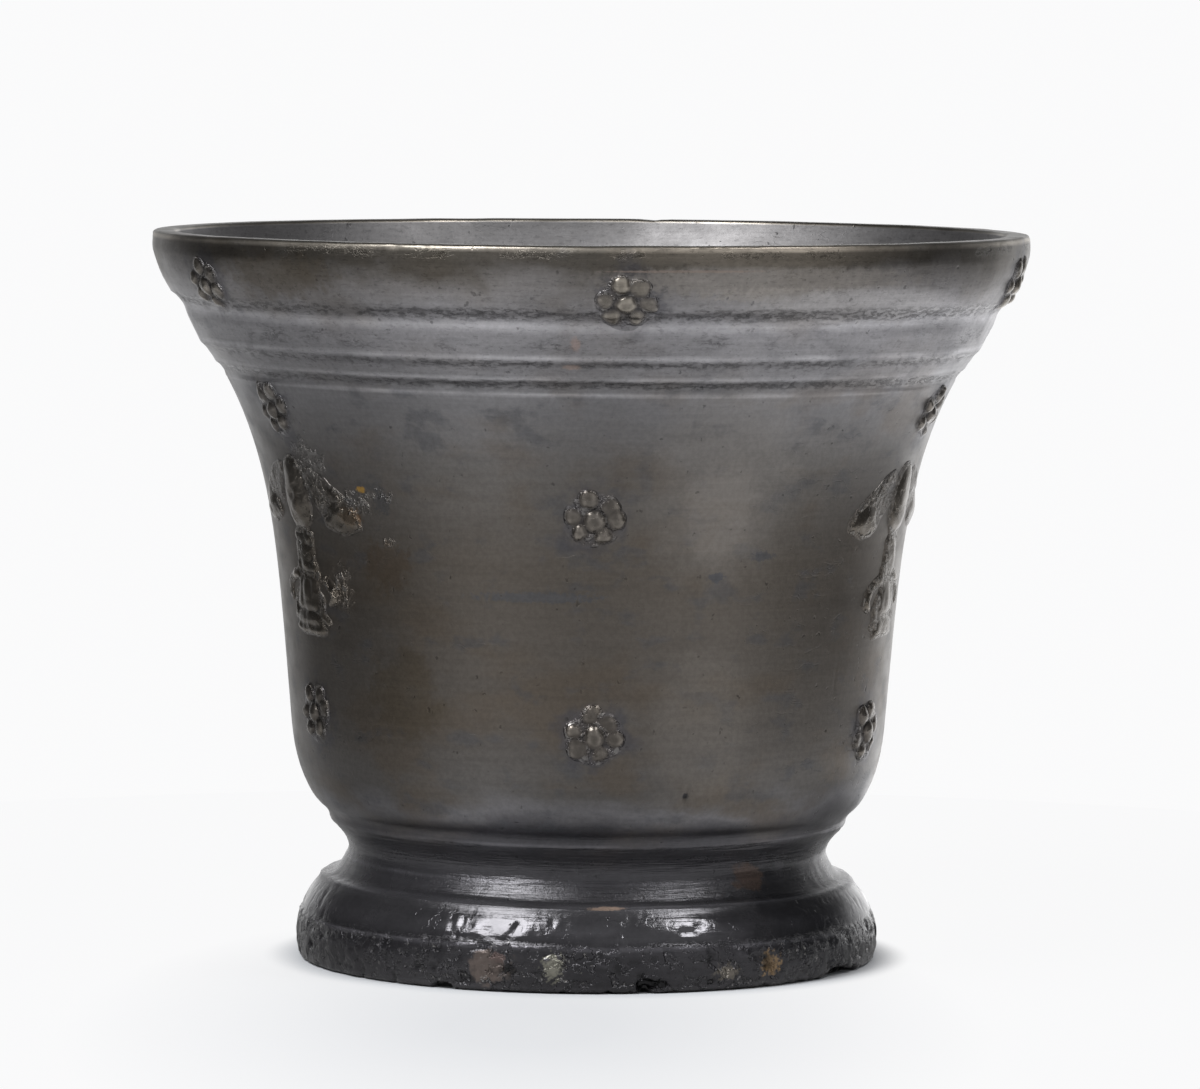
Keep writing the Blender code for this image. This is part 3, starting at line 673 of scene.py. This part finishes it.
# Grids that the ornaments are pressed on: half-width, lowest, highest and spacing
LILY_GRID = (20.0, -1.6, 34.2, 0.21)
ROSETTE_GRID = (6.8, -6.8, 6.8, 0.16)
# Height, as a share of its stamp's, and softness of a lily, and those of one that is less crisp
PRESSING = (0.85, 6)
PRESSINGS = {"lily_right": (0.72, 12)}
ROSETTE_SOFTNESS = 3
CREASE_SHARE = 3.0
CREASE_SOFTNESS = 14
# How far an ornament's stamp lies over its node's middle
SHIFTS = {"lip_rosette_front": -0.9}
# How much brighter rubbed an ornament is
RUBBED = {"lip_rosette_front": 0.75, "lip_rosette_right": 0.7, "lip_rosette_left": 0.5,
          "lip_rosette_back": 0.7}
RUBBED_LITTLE = 0.2


def add_ornament(node, tilt, seed):
    """Press one ornament on the wall at its CAD node: a closed relief, sunk in at its border."""
    azimuth, level = PLACES[node]
    level += SHIFTS.get(node, 0.0)
    lily = node.startswith("lily")
    width, low, high, spacing = LILY_GRID if lily else ROSETTE_GRID
    across = np.arange(-width, width + spacing, spacing)
    upward = np.arange(low, high + spacing, spacing)
    x, y = np.meshgrid(across, upward)
    shape = x.shape
    x, y = x.ravel(), y.ravel()
    if lily:
        tall, times = PRESSINGS.get(node, PRESSING)
        height = tall * soften(lily_height(x, y, seed), shape, times)
    else:
        height = soften(rosette_height(x, y, seed), shape, ROSETTE_SOFTNESS)
    floor = np.maximum(height, 0.0)
    # creases: the material darkens them as painted shade and brightens ridges as wear
    crease = CREASE_SHARE * (floor - soften(floor, shape, CREASE_SOFTNESS))
    shown = (height > -SINK + 0.01).reshape(shape)
    cells = shown[:-1, :-1] | shown[1:, :-1] | shown[:-1, 1:] | shown[1:, 1:]
    turned_x = x * math.cos(tilt) - y * math.sin(tilt)
    turned_y = x * math.sin(tilt) + y * math.cos(tilt)
    lean = wall_radius(level + 0.5) - wall_radius(level - 0.5)
    climb = 1.0 if lily else 1.0 / math.hypot(1.0, lean)
    levels = level + turned_y * climb
    azimuths = azimuth + turned_x / wall_radius(levels)
    front = on_wall(azimuths, levels, height)
    back = on_wall(azimuths, levels, -BACK_DEPTH)
    count = len(x)
    columns = shape[1]
    faces = []
    edges = set()
    for row, column in zip(*np.nonzero(cells)):
        first = int(row * columns + column)
        quad = (first, first + 1, first + 1 + columns, first + columns)
        faces += [quad, tuple(count + index for index in reversed(quad))]
        for start, end in zip(quad, quad[1:] + quad[:1]):
            if (end, start) in edges:
                edges.remove((end, start))
            else:
                edges.add((start, end))
    faces += [(end, start, count + start, count + end) for start, end in sorted(edges)]
    used = sorted({index for face in faces for index in face})
    place = {old: new for new, old in enumerate(used)}
    points = np.concatenate([front, back])[used]
    rubbed = ease(height, 0.3, 0.8) * RUBBED.get(node, RUBBED_LITTLE)
    attributes = {"raised": np.concatenate([height, np.full(count, -SINK)])[used],
                  "rubbed": np.concatenate([rubbed, np.zeros(count)])[used],
                  "hollow": np.concatenate([crease, np.zeros(count)])[used]}
    faces = [tuple(place[index] for index in face) for face in faces]
    return build(f"{node}_relief", points, faces, node, attributes)


# Tilts of the ornaments that do not stand upright, in degrees
TILTS = {
    "lip_rosette_front": 3, "lip_rosette_left": -11, "lip_rosette_right": 17,
    "lip_rosette_back": 22, "mid_rosette_left_back": 13, "high_rosette_left": 20,
    "high_rosette_right": -14, "low_rosette_front": -6, "low_rosette_left": 12,
    "low_rosette_right": 25, "low_rosette_back": -18, "lily_left": -2,
    "lily_right": 1.5,
}


def add_ornaments():
    return [add_ornament(node, math.radians(TILTS.get(node, 0.0)), ORNAMENT_SEED + SEED_STEP * index)
            for index, node in enumerate(ORNAMENTS)]


# Materials

class Nodes:
    """Short way to add shader nodes to a node tree; add gives a node's outputs."""

    def __init__(self, tree):
        self.tree = tree

    def add(self, kind, inputs=None, **settings):
        node = self.tree.nodes.new(f"ShaderNode{kind}")
        for name, value in settings.items():
            setattr(node, name, value)
        for name, value in (inputs or {}).items():
            if isinstance(value, bpy.types.NodeSocket):
                self.link(value, node, name)
            else:
                node.inputs[name].default_value = value
        return node.outputs

    def math(self, operation, *values):
        return self.add("Math", dict(enumerate(values)), operation=operation)[0]

    def times(self, first, *others):
        for other in others:
            first = self.math("MULTIPLY", first, other)
        return first

    def plus(self, first, *others):
        for other in others:
            first = self.math("ADD", first, other)
        return first

    def rest(self, share):
        """What a share leaves of 1."""
        return self.math("SUBTRACT", 1.0, share)

    def link(self, value, node, name):
        self.tree.links.new(value, node.inputs[name])

    def attribute(self, name):
        return self.add("Attribute", attribute_name=name)["Fac"]

    def squeezed(self, vector, share):
        """Places whose level counts in full and whose other sides count by this share."""
        return self.add("Mapping", {"Vector": vector, "Scale": (share, share, 1.0)})[0]

    def mix(self, factor, first, second):
        return self.add("Mix", {0: factor, 6: first, 7: second}, data_type="RGBA")[2]

    def noise(self, vector, size, detail=3.0, roughness=0.55):
        inputs = {"Vector": vector, "Scale": 1.0 / size, "Detail": detail, "Roughness": roughness}
        return self.add("TexNoise", inputs)["Fac"]

    def range(self, value, low, high, new_low=0.0, new_high=1.0, kind="SMOOTHSTEP"):
        inputs = {"Value": value, "From Min": low, "From Max": high, "To Min": new_low, "To Max": new_high}
        return self.add("MapRange", inputs, interpolation_type=kind)["Result"]

    def scaled(self, vector, scale):
        return self.add("VectorMath", {0: vector, "Scale": scale}, operation="SCALE")[0]

    def length(self, vector):
        return self.add("VectorMath", {0: vector}, operation="LENGTH")["Value"]

    def ramp(self, value, stops):
        ramp_color = self.add("ValToRGB", {"Fac": value})["Color"]
        elements = ramp_color.node.color_ramp.elements
        while len(elements) < len(stops):
            elements.new(0.5)
        for element, (position, color) in zip(elements, stops):
            element.position = position
            element.color = (*color, 1.0)
        return ramp_color


def new_material(name):
    """A material, its nodes and its shader."""
    material = bpy.data.materials.new(name)
    material.use_nodes = True
    return material, Nodes(material.node_tree), material.node_tree.nodes["Principled BSDF"]


# Colour of the metal at shares of the rim's level
LEVEL_COLORS = (
    (0.0, (0.031, 0.03, 0.033)), (0.06, (0.032, 0.031, 0.035)), (0.115, (0.056, 0.055, 0.06)),
    (0.15, (0.052, 0.051, 0.057)), (0.175, (0.07, 0.069, 0.076)), (0.205, (0.085, 0.083, 0.09)),
    (0.232, (0.165, 0.162, 0.17)), (0.262, (0.117, 0.111, 0.107)), (0.36, (0.122, 0.111, 0.101)),
    (0.56, (0.122, 0.108, 0.094)), (0.7, (0.142, 0.135, 0.13)), (0.78, (0.19, 0.188, 0.195)),
    (0.89, (0.29, 0.286, 0.3)), (0.945, (0.22, 0.21, 0.207)), (0.975, (0.11, 0.1, 0.088)),
    (1.0, (0.1, 0.092, 0.08)),
)

# Stains and worn spots, and patches of painted light and shade: azimuth in degrees, level, half-width,
# half-height, raggedness, colour, strength
PATCHES = (
    # painted shade over the foot's right side, partly a darker patina there
    (63, 12, 27, 15, 0.2, (0.02, 0.02, 0.023), 0.85),
    (-1.9, 115.8, 1.05, 1.9, 0.2, (0.36, 0.29, 0.27), 0.85),
    (-2.6, 111.7, 2, 0.55, 0.25, (0.36, 0.29, 0.26), 0.8),
    (-18.5, 4.6, 3.9, 3.2, 0.45, (0.115, 0.092, 0.082), 0.85),
    (-17, 6.3, 1.7, 1.1, 0.4, (0.14, 0.1, 0.094), 0.7),
    (-6.2, 4.8, 2.2, 2.8, 0.45, (0.17, 0.166, 0.138), 0.85),
    (38.2, 4.2, 2.4, 2.3, 0.45, (0.23, 0.155, 0.085), 0.9),
    (28, 3.4, 2.4, 1.6, 0.45, (0.13, 0.115, 0.095), 0.7),
    (4, 14.7, 3.6, 0.34, 0.25, (0.26, 0.19, 0.15), 0.8),
    (41, 18.6, 4.5, 3, 0.4, (0.075, 0.052, 0.042), 0.8),
    (-42.3, 88.5, 1.4, 0.65, 0.3, (0.46, 0.28, 0.08), 1),
    (-46, 83.3, 3.2, 2.2, 0.3, (0.15, 0.095, 0.055), 0.8),
    (-62, 86, 3.2, 5.2, 0.3, (0.13, 0.1, 0.08), 0.7),
    (-38, 86.6, 2.2, 2.8, 0.45, (0.075, 0.078, 0.088), 0.5),
    # painted reflection: the lip and cornice lightened on the right, where they mirror the brighter side
    # of the studio
    (23, 127, 36, 3, 0.25, (0.245, 0.228, 0.212), 0.75),
    (24, 131.4, 34, 2.6, 0.1, (0.155, 0.137, 0.115), 0.8),
    (12, 128.7, 17, 0.26, 0.2, (0.27, 0.22, 0.19), 0.7),
    (-44, 127, 15, 5, 0.3, (0.125, 0.105, 0.08), 0.45),
    (-36, 52, 9, 9, 0.35, (0.1, 0.082, 0.06), 0.6),
    (-38, 75, 6, 5, 0.35, (0.105, 0.08, 0.058), 0.6),
    # painted highlight: lighter patches on the body's right, where a soft vertical highlight falls
    (23, 92, 17, 24, 0.12, (0.21, 0.198, 0.188), 0.35),
    (23, 86, 8, 12, 0.12, (0.27, 0.248, 0.228), 0.3),
    (22, 47, 11, 18, 0.15, (0.17, 0.155, 0.14), 0.4),
    # painted highlight and reflection: lighter bands on the lip and the cornice right of the front
    (23, 124.5, 14, 1.6, 0.4, (0.3, 0.28, 0.26), 0.5),
    (38, 122.5, 26, 3.6, 0.12, (0.345, 0.337, 0.342), 0.7),
    (-9, 70.6, 13, 1.1, 0.35, (0.092, 0.098, 0.112), 0.6),
    (23, 74, 1.8, 1, 0.4, (0.08, 0.086, 0.1), 0.7),
    (32, 77.6, 2.6, 1, 0.4, (0.08, 0.084, 0.095), 0.6),
    (19.2, 35, 0.8, 0.7, 0.2, (0.045, 0.045, 0.05), 0.8),
)
# Crust left round the worn left lily: a patch's values up to its raggedness
CRUSTS = (
    (-55, 93, 5, 4.5, 0.45), (-44.5, 86.2, 4, 2.8, 0.45), (-38, 87.6, 2.8, 1.3, 0.45),
    (-37.5, 79.3, 1.4, 1.1, 0.3), (-51, 70.5, 3.5, 4, 0.45),
)
# Painted shade in a darker ring round each rosette's swelling: a patch's values after its place
ROSETTE_SHADE_RING = (7.6, 7.6, 0.35, (0.078, 0.078, 0.092), 0.55)
# Sizes of the noises that patches are ragged by, and the share of a patch's size that suits it best
RAGGED_SIZES = (0.8, 2.2, 5.0)
RAGGED_SHARE = 0.6


def patch_mask(nodes, place, edges, azimuth, level, half_width, half_height, ragged, strength):
    """Strength of a patch with a ragged outline, fading out at its border."""
    centre = ring_point(math.radians(azimuth), wall_radius(level), level)
    inputs = {"Vector": place, "Location": centre.tolist(), "Scale": (half_width, half_width, half_height)}
    offset = nodes.add("Mapping", inputs, vector_type="TEXTURE")[0]
    wanted = RAGGED_SHARE * min(half_width, half_height)
    edge = min(edges, key=lambda pair: abs(pair[0] - wanted))[1]
    distance = nodes.plus(nodes.length(offset), nodes.range(edge, 0.25, 0.75, -ragged, ragged))
    return nodes.range(distance, *FADE_OUT, strength, 0.0)


# Colours that the patina mixes in
BROWN = (0.118, 0.094, 0.07, 1.0)
BLUE = (0.086, 0.089, 0.099, 1.0)
RAISED_BROWN = (0.088, 0.076, 0.062, 1.0)
RUBBED_METAL = (0.34, 0.31, 0.26, 1.0)
INSIDE_GREY = (0.195, 0.192, 0.197, 1.0)
# grey of the light flecks: pale crust, partly painted glints
CRUST_AND_GLINT_GREY = (0.34, 0.33, 0.32, 1.0)


def patina(name):
    """Dark bronze patina: warmer on the body, greyer on the mouldings, near black on the foot."""
    material, nodes, shader = new_material(name)
    place = nodes.scaled(nodes.add("TexCoord")["Object"], 1.0 / MM)
    level = nodes.add("SeparateXYZ", {"Vector": place})["Z"]
    by_level = functools.partial(nodes.range, level)
    hollow, strip, raised, inner, rubbed, worn = (
        nodes.attribute(label) for label in ("hollow", "strip", "raised", "inner", "rubbed", "worn"))

    # Noises: large and small clouds, specks, lines of the lathe, dark spots, hair cracks and marks
    wide_place = nodes.squeezed(place, 0.6)
    clouds = nodes.noise(wide_place, 13.0, 4.0)
    small_clouds = nodes.noise(wide_place, 4.6, 4.0)
    speckle = nodes.noise(place, 0.9, 3.0, 0.7)
    streak_place = nodes.squeezed(place, 0.05)
    streaks = nodes.noise(streak_place, 1.1, 3.0)
    fine_streaks = nodes.noise(streak_place, 0.4, 2.0)
    spots = nodes.noise(place, 1.6, 2.0, 0.6)
    hair = nodes.math("SUBTRACT", nodes.noise(nodes.squeezed(place, 0.4), 3.2, 2.0), 0.5)
    hair = nodes.range(nodes.math("ABSOLUTE", hair), 0.0, 0.012, 1.0, 0.0)
    hair = nodes.times(hair, nodes.range(small_clouds, 0.5, 0.6))
    marks = nodes.noise(nodes.squeezed(place, 0.35), 0.55, 4.0, 0.75)

    # Colour by level, with clouds of brown and blue on the body and the patches
    uneven = nodes.plus(level, nodes.range(clouds, 0.3, 0.7, -2.5, 2.5))
    color = nodes.ramp(nodes.math("DIVIDE", uneven, RIM_LEVEL), LEVEL_COLORS)
    body = nodes.times(by_level(22.0, 30.0), by_level(104.0, 112.0, 1.0, 0.35))
    color = nodes.mix(nodes.times(nodes.range(clouds, 0.48, 0.66, 0.0, 0.45), body), color, BROWN)
    color = nodes.mix(nodes.times(nodes.range(small_clouds, 0.54, 0.68, 0.0, 0.45), body), color, BLUE)
    edges = [(size, nodes.noise(place, size, 3.0, 0.6)) for size in RAGGED_SIZES]
    # painted shade in a ring round each rosette
    shade_rings = [(math.degrees(azimuth), height, *ROSETTE_SHADE_RING)
             for node, (azimuth, height) in PLACES.items() if "rosette" in node]
    for *patch, patch_color, strength in (*shade_rings, *PATCHES):
        mask = patch_mask(nodes, place, edges, *patch, strength)
        color = nodes.mix(mask, color, (*patch_color, 1.0))
    color = nodes.mix(nodes.range(raised, 0.05, 0.4, 0.0, 0.6), color, RAISED_BROWN)
    color = nodes.mix(nodes.times(rubbed, 0.6), color, RUBBED_METAL)
    color = nodes.mix(nodes.times(inner, 0.85), color, INSIDE_GREY)

    # Crust: on the rosettes' pads and round the worn lily, and light flecks, partly painted glints, in it
    # and low on the foot
    crust = nodes.times(nodes.range(raised, 0.02, 0.1), nodes.range(raised, 0.28, 0.45, 0.8, 0.0))
    for patch in CRUSTS:
        crust = nodes.math("MAXIMUM", crust, patch_mask(nodes, place, edges, *patch, 1.0))
    crust_noise = nodes.noise(place, 1.2, 3.0, 0.6)
    flecks_and_glints = nodes.range(nodes.noise(place, 1.1, 4.0, 0.75), 0.6, 0.68, 0.0, 0.75)
    flecks_and_glints = nodes.times(flecks_and_glints, nodes.range(small_clouds, 0.46, 0.62), by_level(7.0, 10.0, 1.0, 0.0))
    crust_flecks_and_glints = nodes.times(crust, nodes.range(crust_noise, 0.54, 0.64, 0.0, 0.5))
    color = nodes.mix(nodes.math("MAXIMUM", flecks_and_glints, crust_flecks_and_glints), color, CRUST_AND_GLINT_GREY)

    # Shade painted into the colour: painted shade in hollows, creases and pits (partly their dark patina),
    # dark spots, the rough strips' painted shade and crust marks, and brighter worn ridges and edges with
    # painted highlights
    turned = nodes.math("SUBTRACT", fine_streaks, 0.5)
    turned = nodes.times(turned, by_level(100.0, 110.0, 0.1, 0.28))
    crawl = nodes.times(nodes.range(marks, 0.55, 0.63, 0.0, 0.22), by_level(104.0, 112.0))
    # painted shade and dark crust marks along the rough strips
    strip_shade_and_crust_marks = nodes.times(strip, nodes.range(marks, 0.47, 0.56, 0.15, 0.7))
    shade = nodes.times(
        nodes.range(speckle, 0.3, 0.7, 0.92, 1.07),
        nodes.range(streaks, 0.3, 0.7, 0.96, 1.04),
        nodes.plus(turned, 1.0),
        nodes.rest(crawl),
        nodes.range(spots, 0.68, 0.76, 1.0, 0.65),
        # painted shade in hollows, creases and pits, partly their dark patina; ridges brighter as wear
        nodes.range(hollow, -0.6, -0.08, 0.35, 1.0),
        nodes.range(hollow, 0.08, 0.5, 1.0, 1.8),
        # painted highlights along edges and on the foot's roll, partly rubbed metal
        nodes.range(worn, 0.0, 2.0, 1.0, 3.4, kind="LINEAR"),
        nodes.rest(strip_shade_and_crust_marks),
    )
    nodes.link(nodes.scaled(color, shade), shader, "Base Color")
    nodes.link(by_level(22.0, 28.0, 0.6, 1.0), shader, "Metallic")

    # Roughness: glossier on the neck, the foot and the ornaments, and duller inside
    roughness = nodes.plus(
        nodes.range(small_clouds, 0.3, 0.7, 0.34, 0.42),
        by_level(21.0, 27.0, -0.11, 0.0),
        by_level(12.5, 15.0, -0.15, 0.0),
        nodes.range(raised, 0.1, 0.4, 0.0, -0.1),
        nodes.times(inner, 0.15),
    )
    nodes.link(roughness, shader, "Roughness")

    # Height of the fine relief in millimetres
    roll = nodes.times(by_level(8.6, 9.8), by_level(12.6, 15.0, 1.0, 0.0))
    grain = nodes.times(nodes.noise(place, 0.55, 4.0, 0.65), by_level(17.0, 27.0, 0.06, 0.018),
                        nodes.rest(nodes.times(roll, 0.75)))
    foot = nodes.times(by_level(12.5, 15.5, 1.0, 0.0), 0.06)
    foot = nodes.math("MAXIMUM", foot, by_level(7.5, 9.0, 1.0, 0.0))
    foot = nodes.times(foot, nodes.range(small_clouds, 0.42, 0.58, 0.25, 1.0))
    pitted = nodes.math("MAXIMUM", foot, nodes.range(raised, 0.1, 0.5, 0.0, 0.08))
    pits = nodes.times(nodes.range(nodes.noise(place, 2.2, 4.0, 0.55), 0.48, 0.58, 0.0, -0.42), pitted)
    crusty = nodes.times(nodes.range(crust_noise, 0.42, 0.62, 0.0, 0.28), crust)
    pits = nodes.plus(pits, crusty, nodes.range(spots, 0.68, 0.76, 0.0, -0.05), nodes.times(hair, -0.018))
    creases = nodes.times(nodes.range(marks, 0.48, 0.58, 0.0, -0.13), strip)
    scratches = nodes.times(
        nodes.plus(nodes.times(streaks, 0.5), fine_streaks),
        by_level(13.0, 16.5, 0.25, 1.0),
        by_level(24.0, 29.0, 0.13, 0.008),
    )
    height = nodes.plus(nodes.plus(grain, pits), nodes.plus(creases, scratches))
    bump = nodes.add("Bump", {"Height": height, "Strength": 1.0, "Distance": MM})
    nodes.link(bump[0], shader, "Normal")
    return material


# Studio

CAMERA_PLACE = (1.987, -1254.98, 172.73)
CAMERA_LENS = 205.96
CAMERA_TILT = 0.0772
CAMERA_ROLL = 0.0067


def add_camera():
    data = bpy.data.cameras.new("camera")
    data.lens = CAMERA_LENS
    camera = placed("camera", data)
    turn = Matrix.Rotation(math.pi / 2 - CAMERA_TILT, 4, "X") @ Matrix.Rotation(CAMERA_ROLL, 4, "Z")
    camera.matrix_world = Matrix.Translation(Vector(CAMERA_PLACE) * MM) @ turn
    bpy.context.scene.camera = camera


# Soft lamps: name, direction from the bowl, distance and size in metres, and power in watts
LAMPS = (
    ("lamp_front_left", (-0.465, -0.46, 0.76), 1.2, (0.44, 0.62), 13.5),
    ("lamp_front_right", (0.51, -0.34, 0.79), 1.2, (0.22, 0.34), 3.6),
)
LAMP_TARGET = Vector((0.0, 0.0, 0.07))

# Brightness of the studio round the bowl at each azimuth in degrees, seen in the metal
SURROUNDINGS = ((-180, 1.3), (-158, 0.8), (-132, 0.1), (-95, 0.1), (-65, 0.3),
                (-42, 0.7), (-25, 0.66), (0, 0.52), (24, 0.75), (45, 0.95), (62, 0.62),
                (80, 0.18), (116, 0.1), (136, 0.85), (150, 1.5), (180, 1.5))
# Tone of the paper at each azimuth, painted into its colour for all but camera rays: painted light and
# shade that the metal mirrors
PAPER_PAINTED_TONES = ((-180, 0.8), (-140, 0.6), (-118, 0.46), (-100, 0.36), (-70, 0.36), (-32, 0.72),
               (0, 0.46), (32, 0.68), (60, 0.82), (98, 0.66), (130, 0.85), (180, 0.8))
# Glow painted on that paper at each azimuth for all but camera rays: it gives light where no lamp stands,
# in place of a lamp behind the bowl
PAPER_PAINTED_GLOW = ((-180, 0.1), (-150, 0.1), (-100, 0.05), (-60, 0), (30, 0), (70, 0.16),
              (105, 0.55), (145, 1.5), (180, 0.1))
PAPER_WHITE = (0.96, 0.96, 0.965, 1.0)
PAPER_SHADE = (0.66, 0.68, 0.71, 1.0)
PAPER_ROUGHNESS = 0.6
FLOOR_REACH = 0.27
FLOOR_STEP = 5
# Where and in what proportion the camera sees the paper's own tone, in front of the bowl
FRONT_OFFSET = (0.015, 0.072, 0.0)
FRONT_SCALE = (1.5, 0.8, 1.0)


def by_azimuth(nodes, direction, tones):
    """Tone in a direction's azimuth."""
    parts = nodes.add("SeparateXYZ", {"Vector": direction})
    azimuth = nodes.math("ARCTAN2", parts["X"], nodes.times(parts["Y"], -1.0))
    stops = tuple(((angle + 180.0) / 360.0, (level, level, level)) for angle, level in tones)
    return nodes.ramp(nodes.range(azimuth, -math.pi, math.pi, kind="LINEAR"), stops)


def add_lamps():
    for name, direction, distance, (width, height), power in LAMPS:
        data = bpy.data.lights.new(name, "AREA")
        data.shape = "RECTANGLE"
        data.size = width
        data.size_y = height
        data.energy = power
        lamp = placed(name, data)
        lamp.location = Vector(direction).normalized() * distance + LAMP_TARGET
        lamp.rotation_euler = Vector(direction).to_track_quat("Z", "Y").to_euler()


def add_world():
    """Studio seen as plain white paper by the camera, and in the metal as its lit and dark sides."""
    world = bpy.data.worlds.new("studio")
    world.use_nodes = True
    bpy.context.scene.world = world
    nodes = Nodes(world.node_tree)
    background = world.node_tree.nodes["Background"]
    direction = nodes.add("TexCoord")["Generated"]
    parts = nodes.add("SeparateXYZ", {"Vector": direction})
    level, up = by_azimuth(nodes, direction, SURROUNDINGS), parts["Z"]
    dim = nodes.times(nodes.range(parts["Y"], 0.2, 0.5), nodes.range(up, 0.12, 0.4, 0.0, 0.8))
    level = nodes.times(level, nodes.range(up, 0.35, 0.9, 1.0, 0.45), nodes.rest(dim))
    level = nodes.math("MAXIMUM", level, nodes.range(up, -0.38, -0.28, 0.6, 0.0))
    in_view = nodes.add("LightPath")["Is Camera Ray"]
    background.inputs["Color"].default_value = PAPER_WHITE
    strength = nodes.plus(nodes.times(level, nodes.rest(in_view)), in_view)
    nodes.link(strength, background, "Strength")


def add_floor():
    """Pale paper floor that fades into the white behind it and keeps the bowl's shadow; to all but camera
    rays it shows painted tones and a painted glow.
    """
    data = bpy.data.meshes.new("floor")
    angles = [math.radians(angle) for angle in range(0, 360, FLOOR_STEP)]
    ring = [(FLOOR_REACH * math.cos(angle), FLOOR_REACH * math.sin(angle), 0.0) for angle in angles]
    data.from_pydata(ring, [], [tuple(range(len(ring)))])
    floor = placed("floor", data)
    material, nodes, shader = new_material("floor_paper")
    place = nodes.add("TexCoord")["Object"]
    distance = nodes.length(place)
    # painted tone: light and shade painted into the paper's colour for all but camera rays
    tone = by_azimuth(nodes, place, PAPER_PAINTED_TONES)
    in_view = nodes.add("LightPath")["Is Camera Ray"]
    nodes.link(nodes.mix(in_view, tone, PAPER_SHADE), shader, "Base Color")
    shader.inputs["Roughness"].default_value = PAPER_ROUGHNESS
    shader.inputs["Emission Color"].default_value = PAPER_WHITE
    # painted glow: the paper emits light to all but camera rays
    lit = by_azimuth(nodes, place, PAPER_PAINTED_GLOW)
    lit = nodes.times(lit, nodes.range(distance, 0.09, 0.15), nodes.rest(in_view))
    nodes.link(lit, shader, "Emission Strength")
    front = nodes.add("Mapping", {"Vector": place, "Location": FRONT_OFFSET, "Scale": FRONT_SCALE})
    far = nodes.range(nodes.length(front[0]), 0.02, 0.12, 0.35, 0.97, kind="LINEAR")
    fade = nodes.times(far, nodes.range(distance, 0.052, 0.06), in_view)
    glow = nodes.add("Emission", {"Color": PAPER_WHITE, "Strength": 1.0})
    mixed = nodes.add("MixShader", {0: fade, 1: shader.outputs[0], 2: glow[0]})
    nodes.link(mixed[0], material.node_tree.nodes["Material Output"], "Surface")
    data.materials.append(material)


bpy.context.scene.view_settings.view_transform = "Standard"
add_camera()
add_lamps()
add_world()
add_floor()
bronze = patina("bronze_patina")
for bronze_piece in [add_vessel()] + add_ornaments():
    bronze_piece.data.materials.append(bronze)
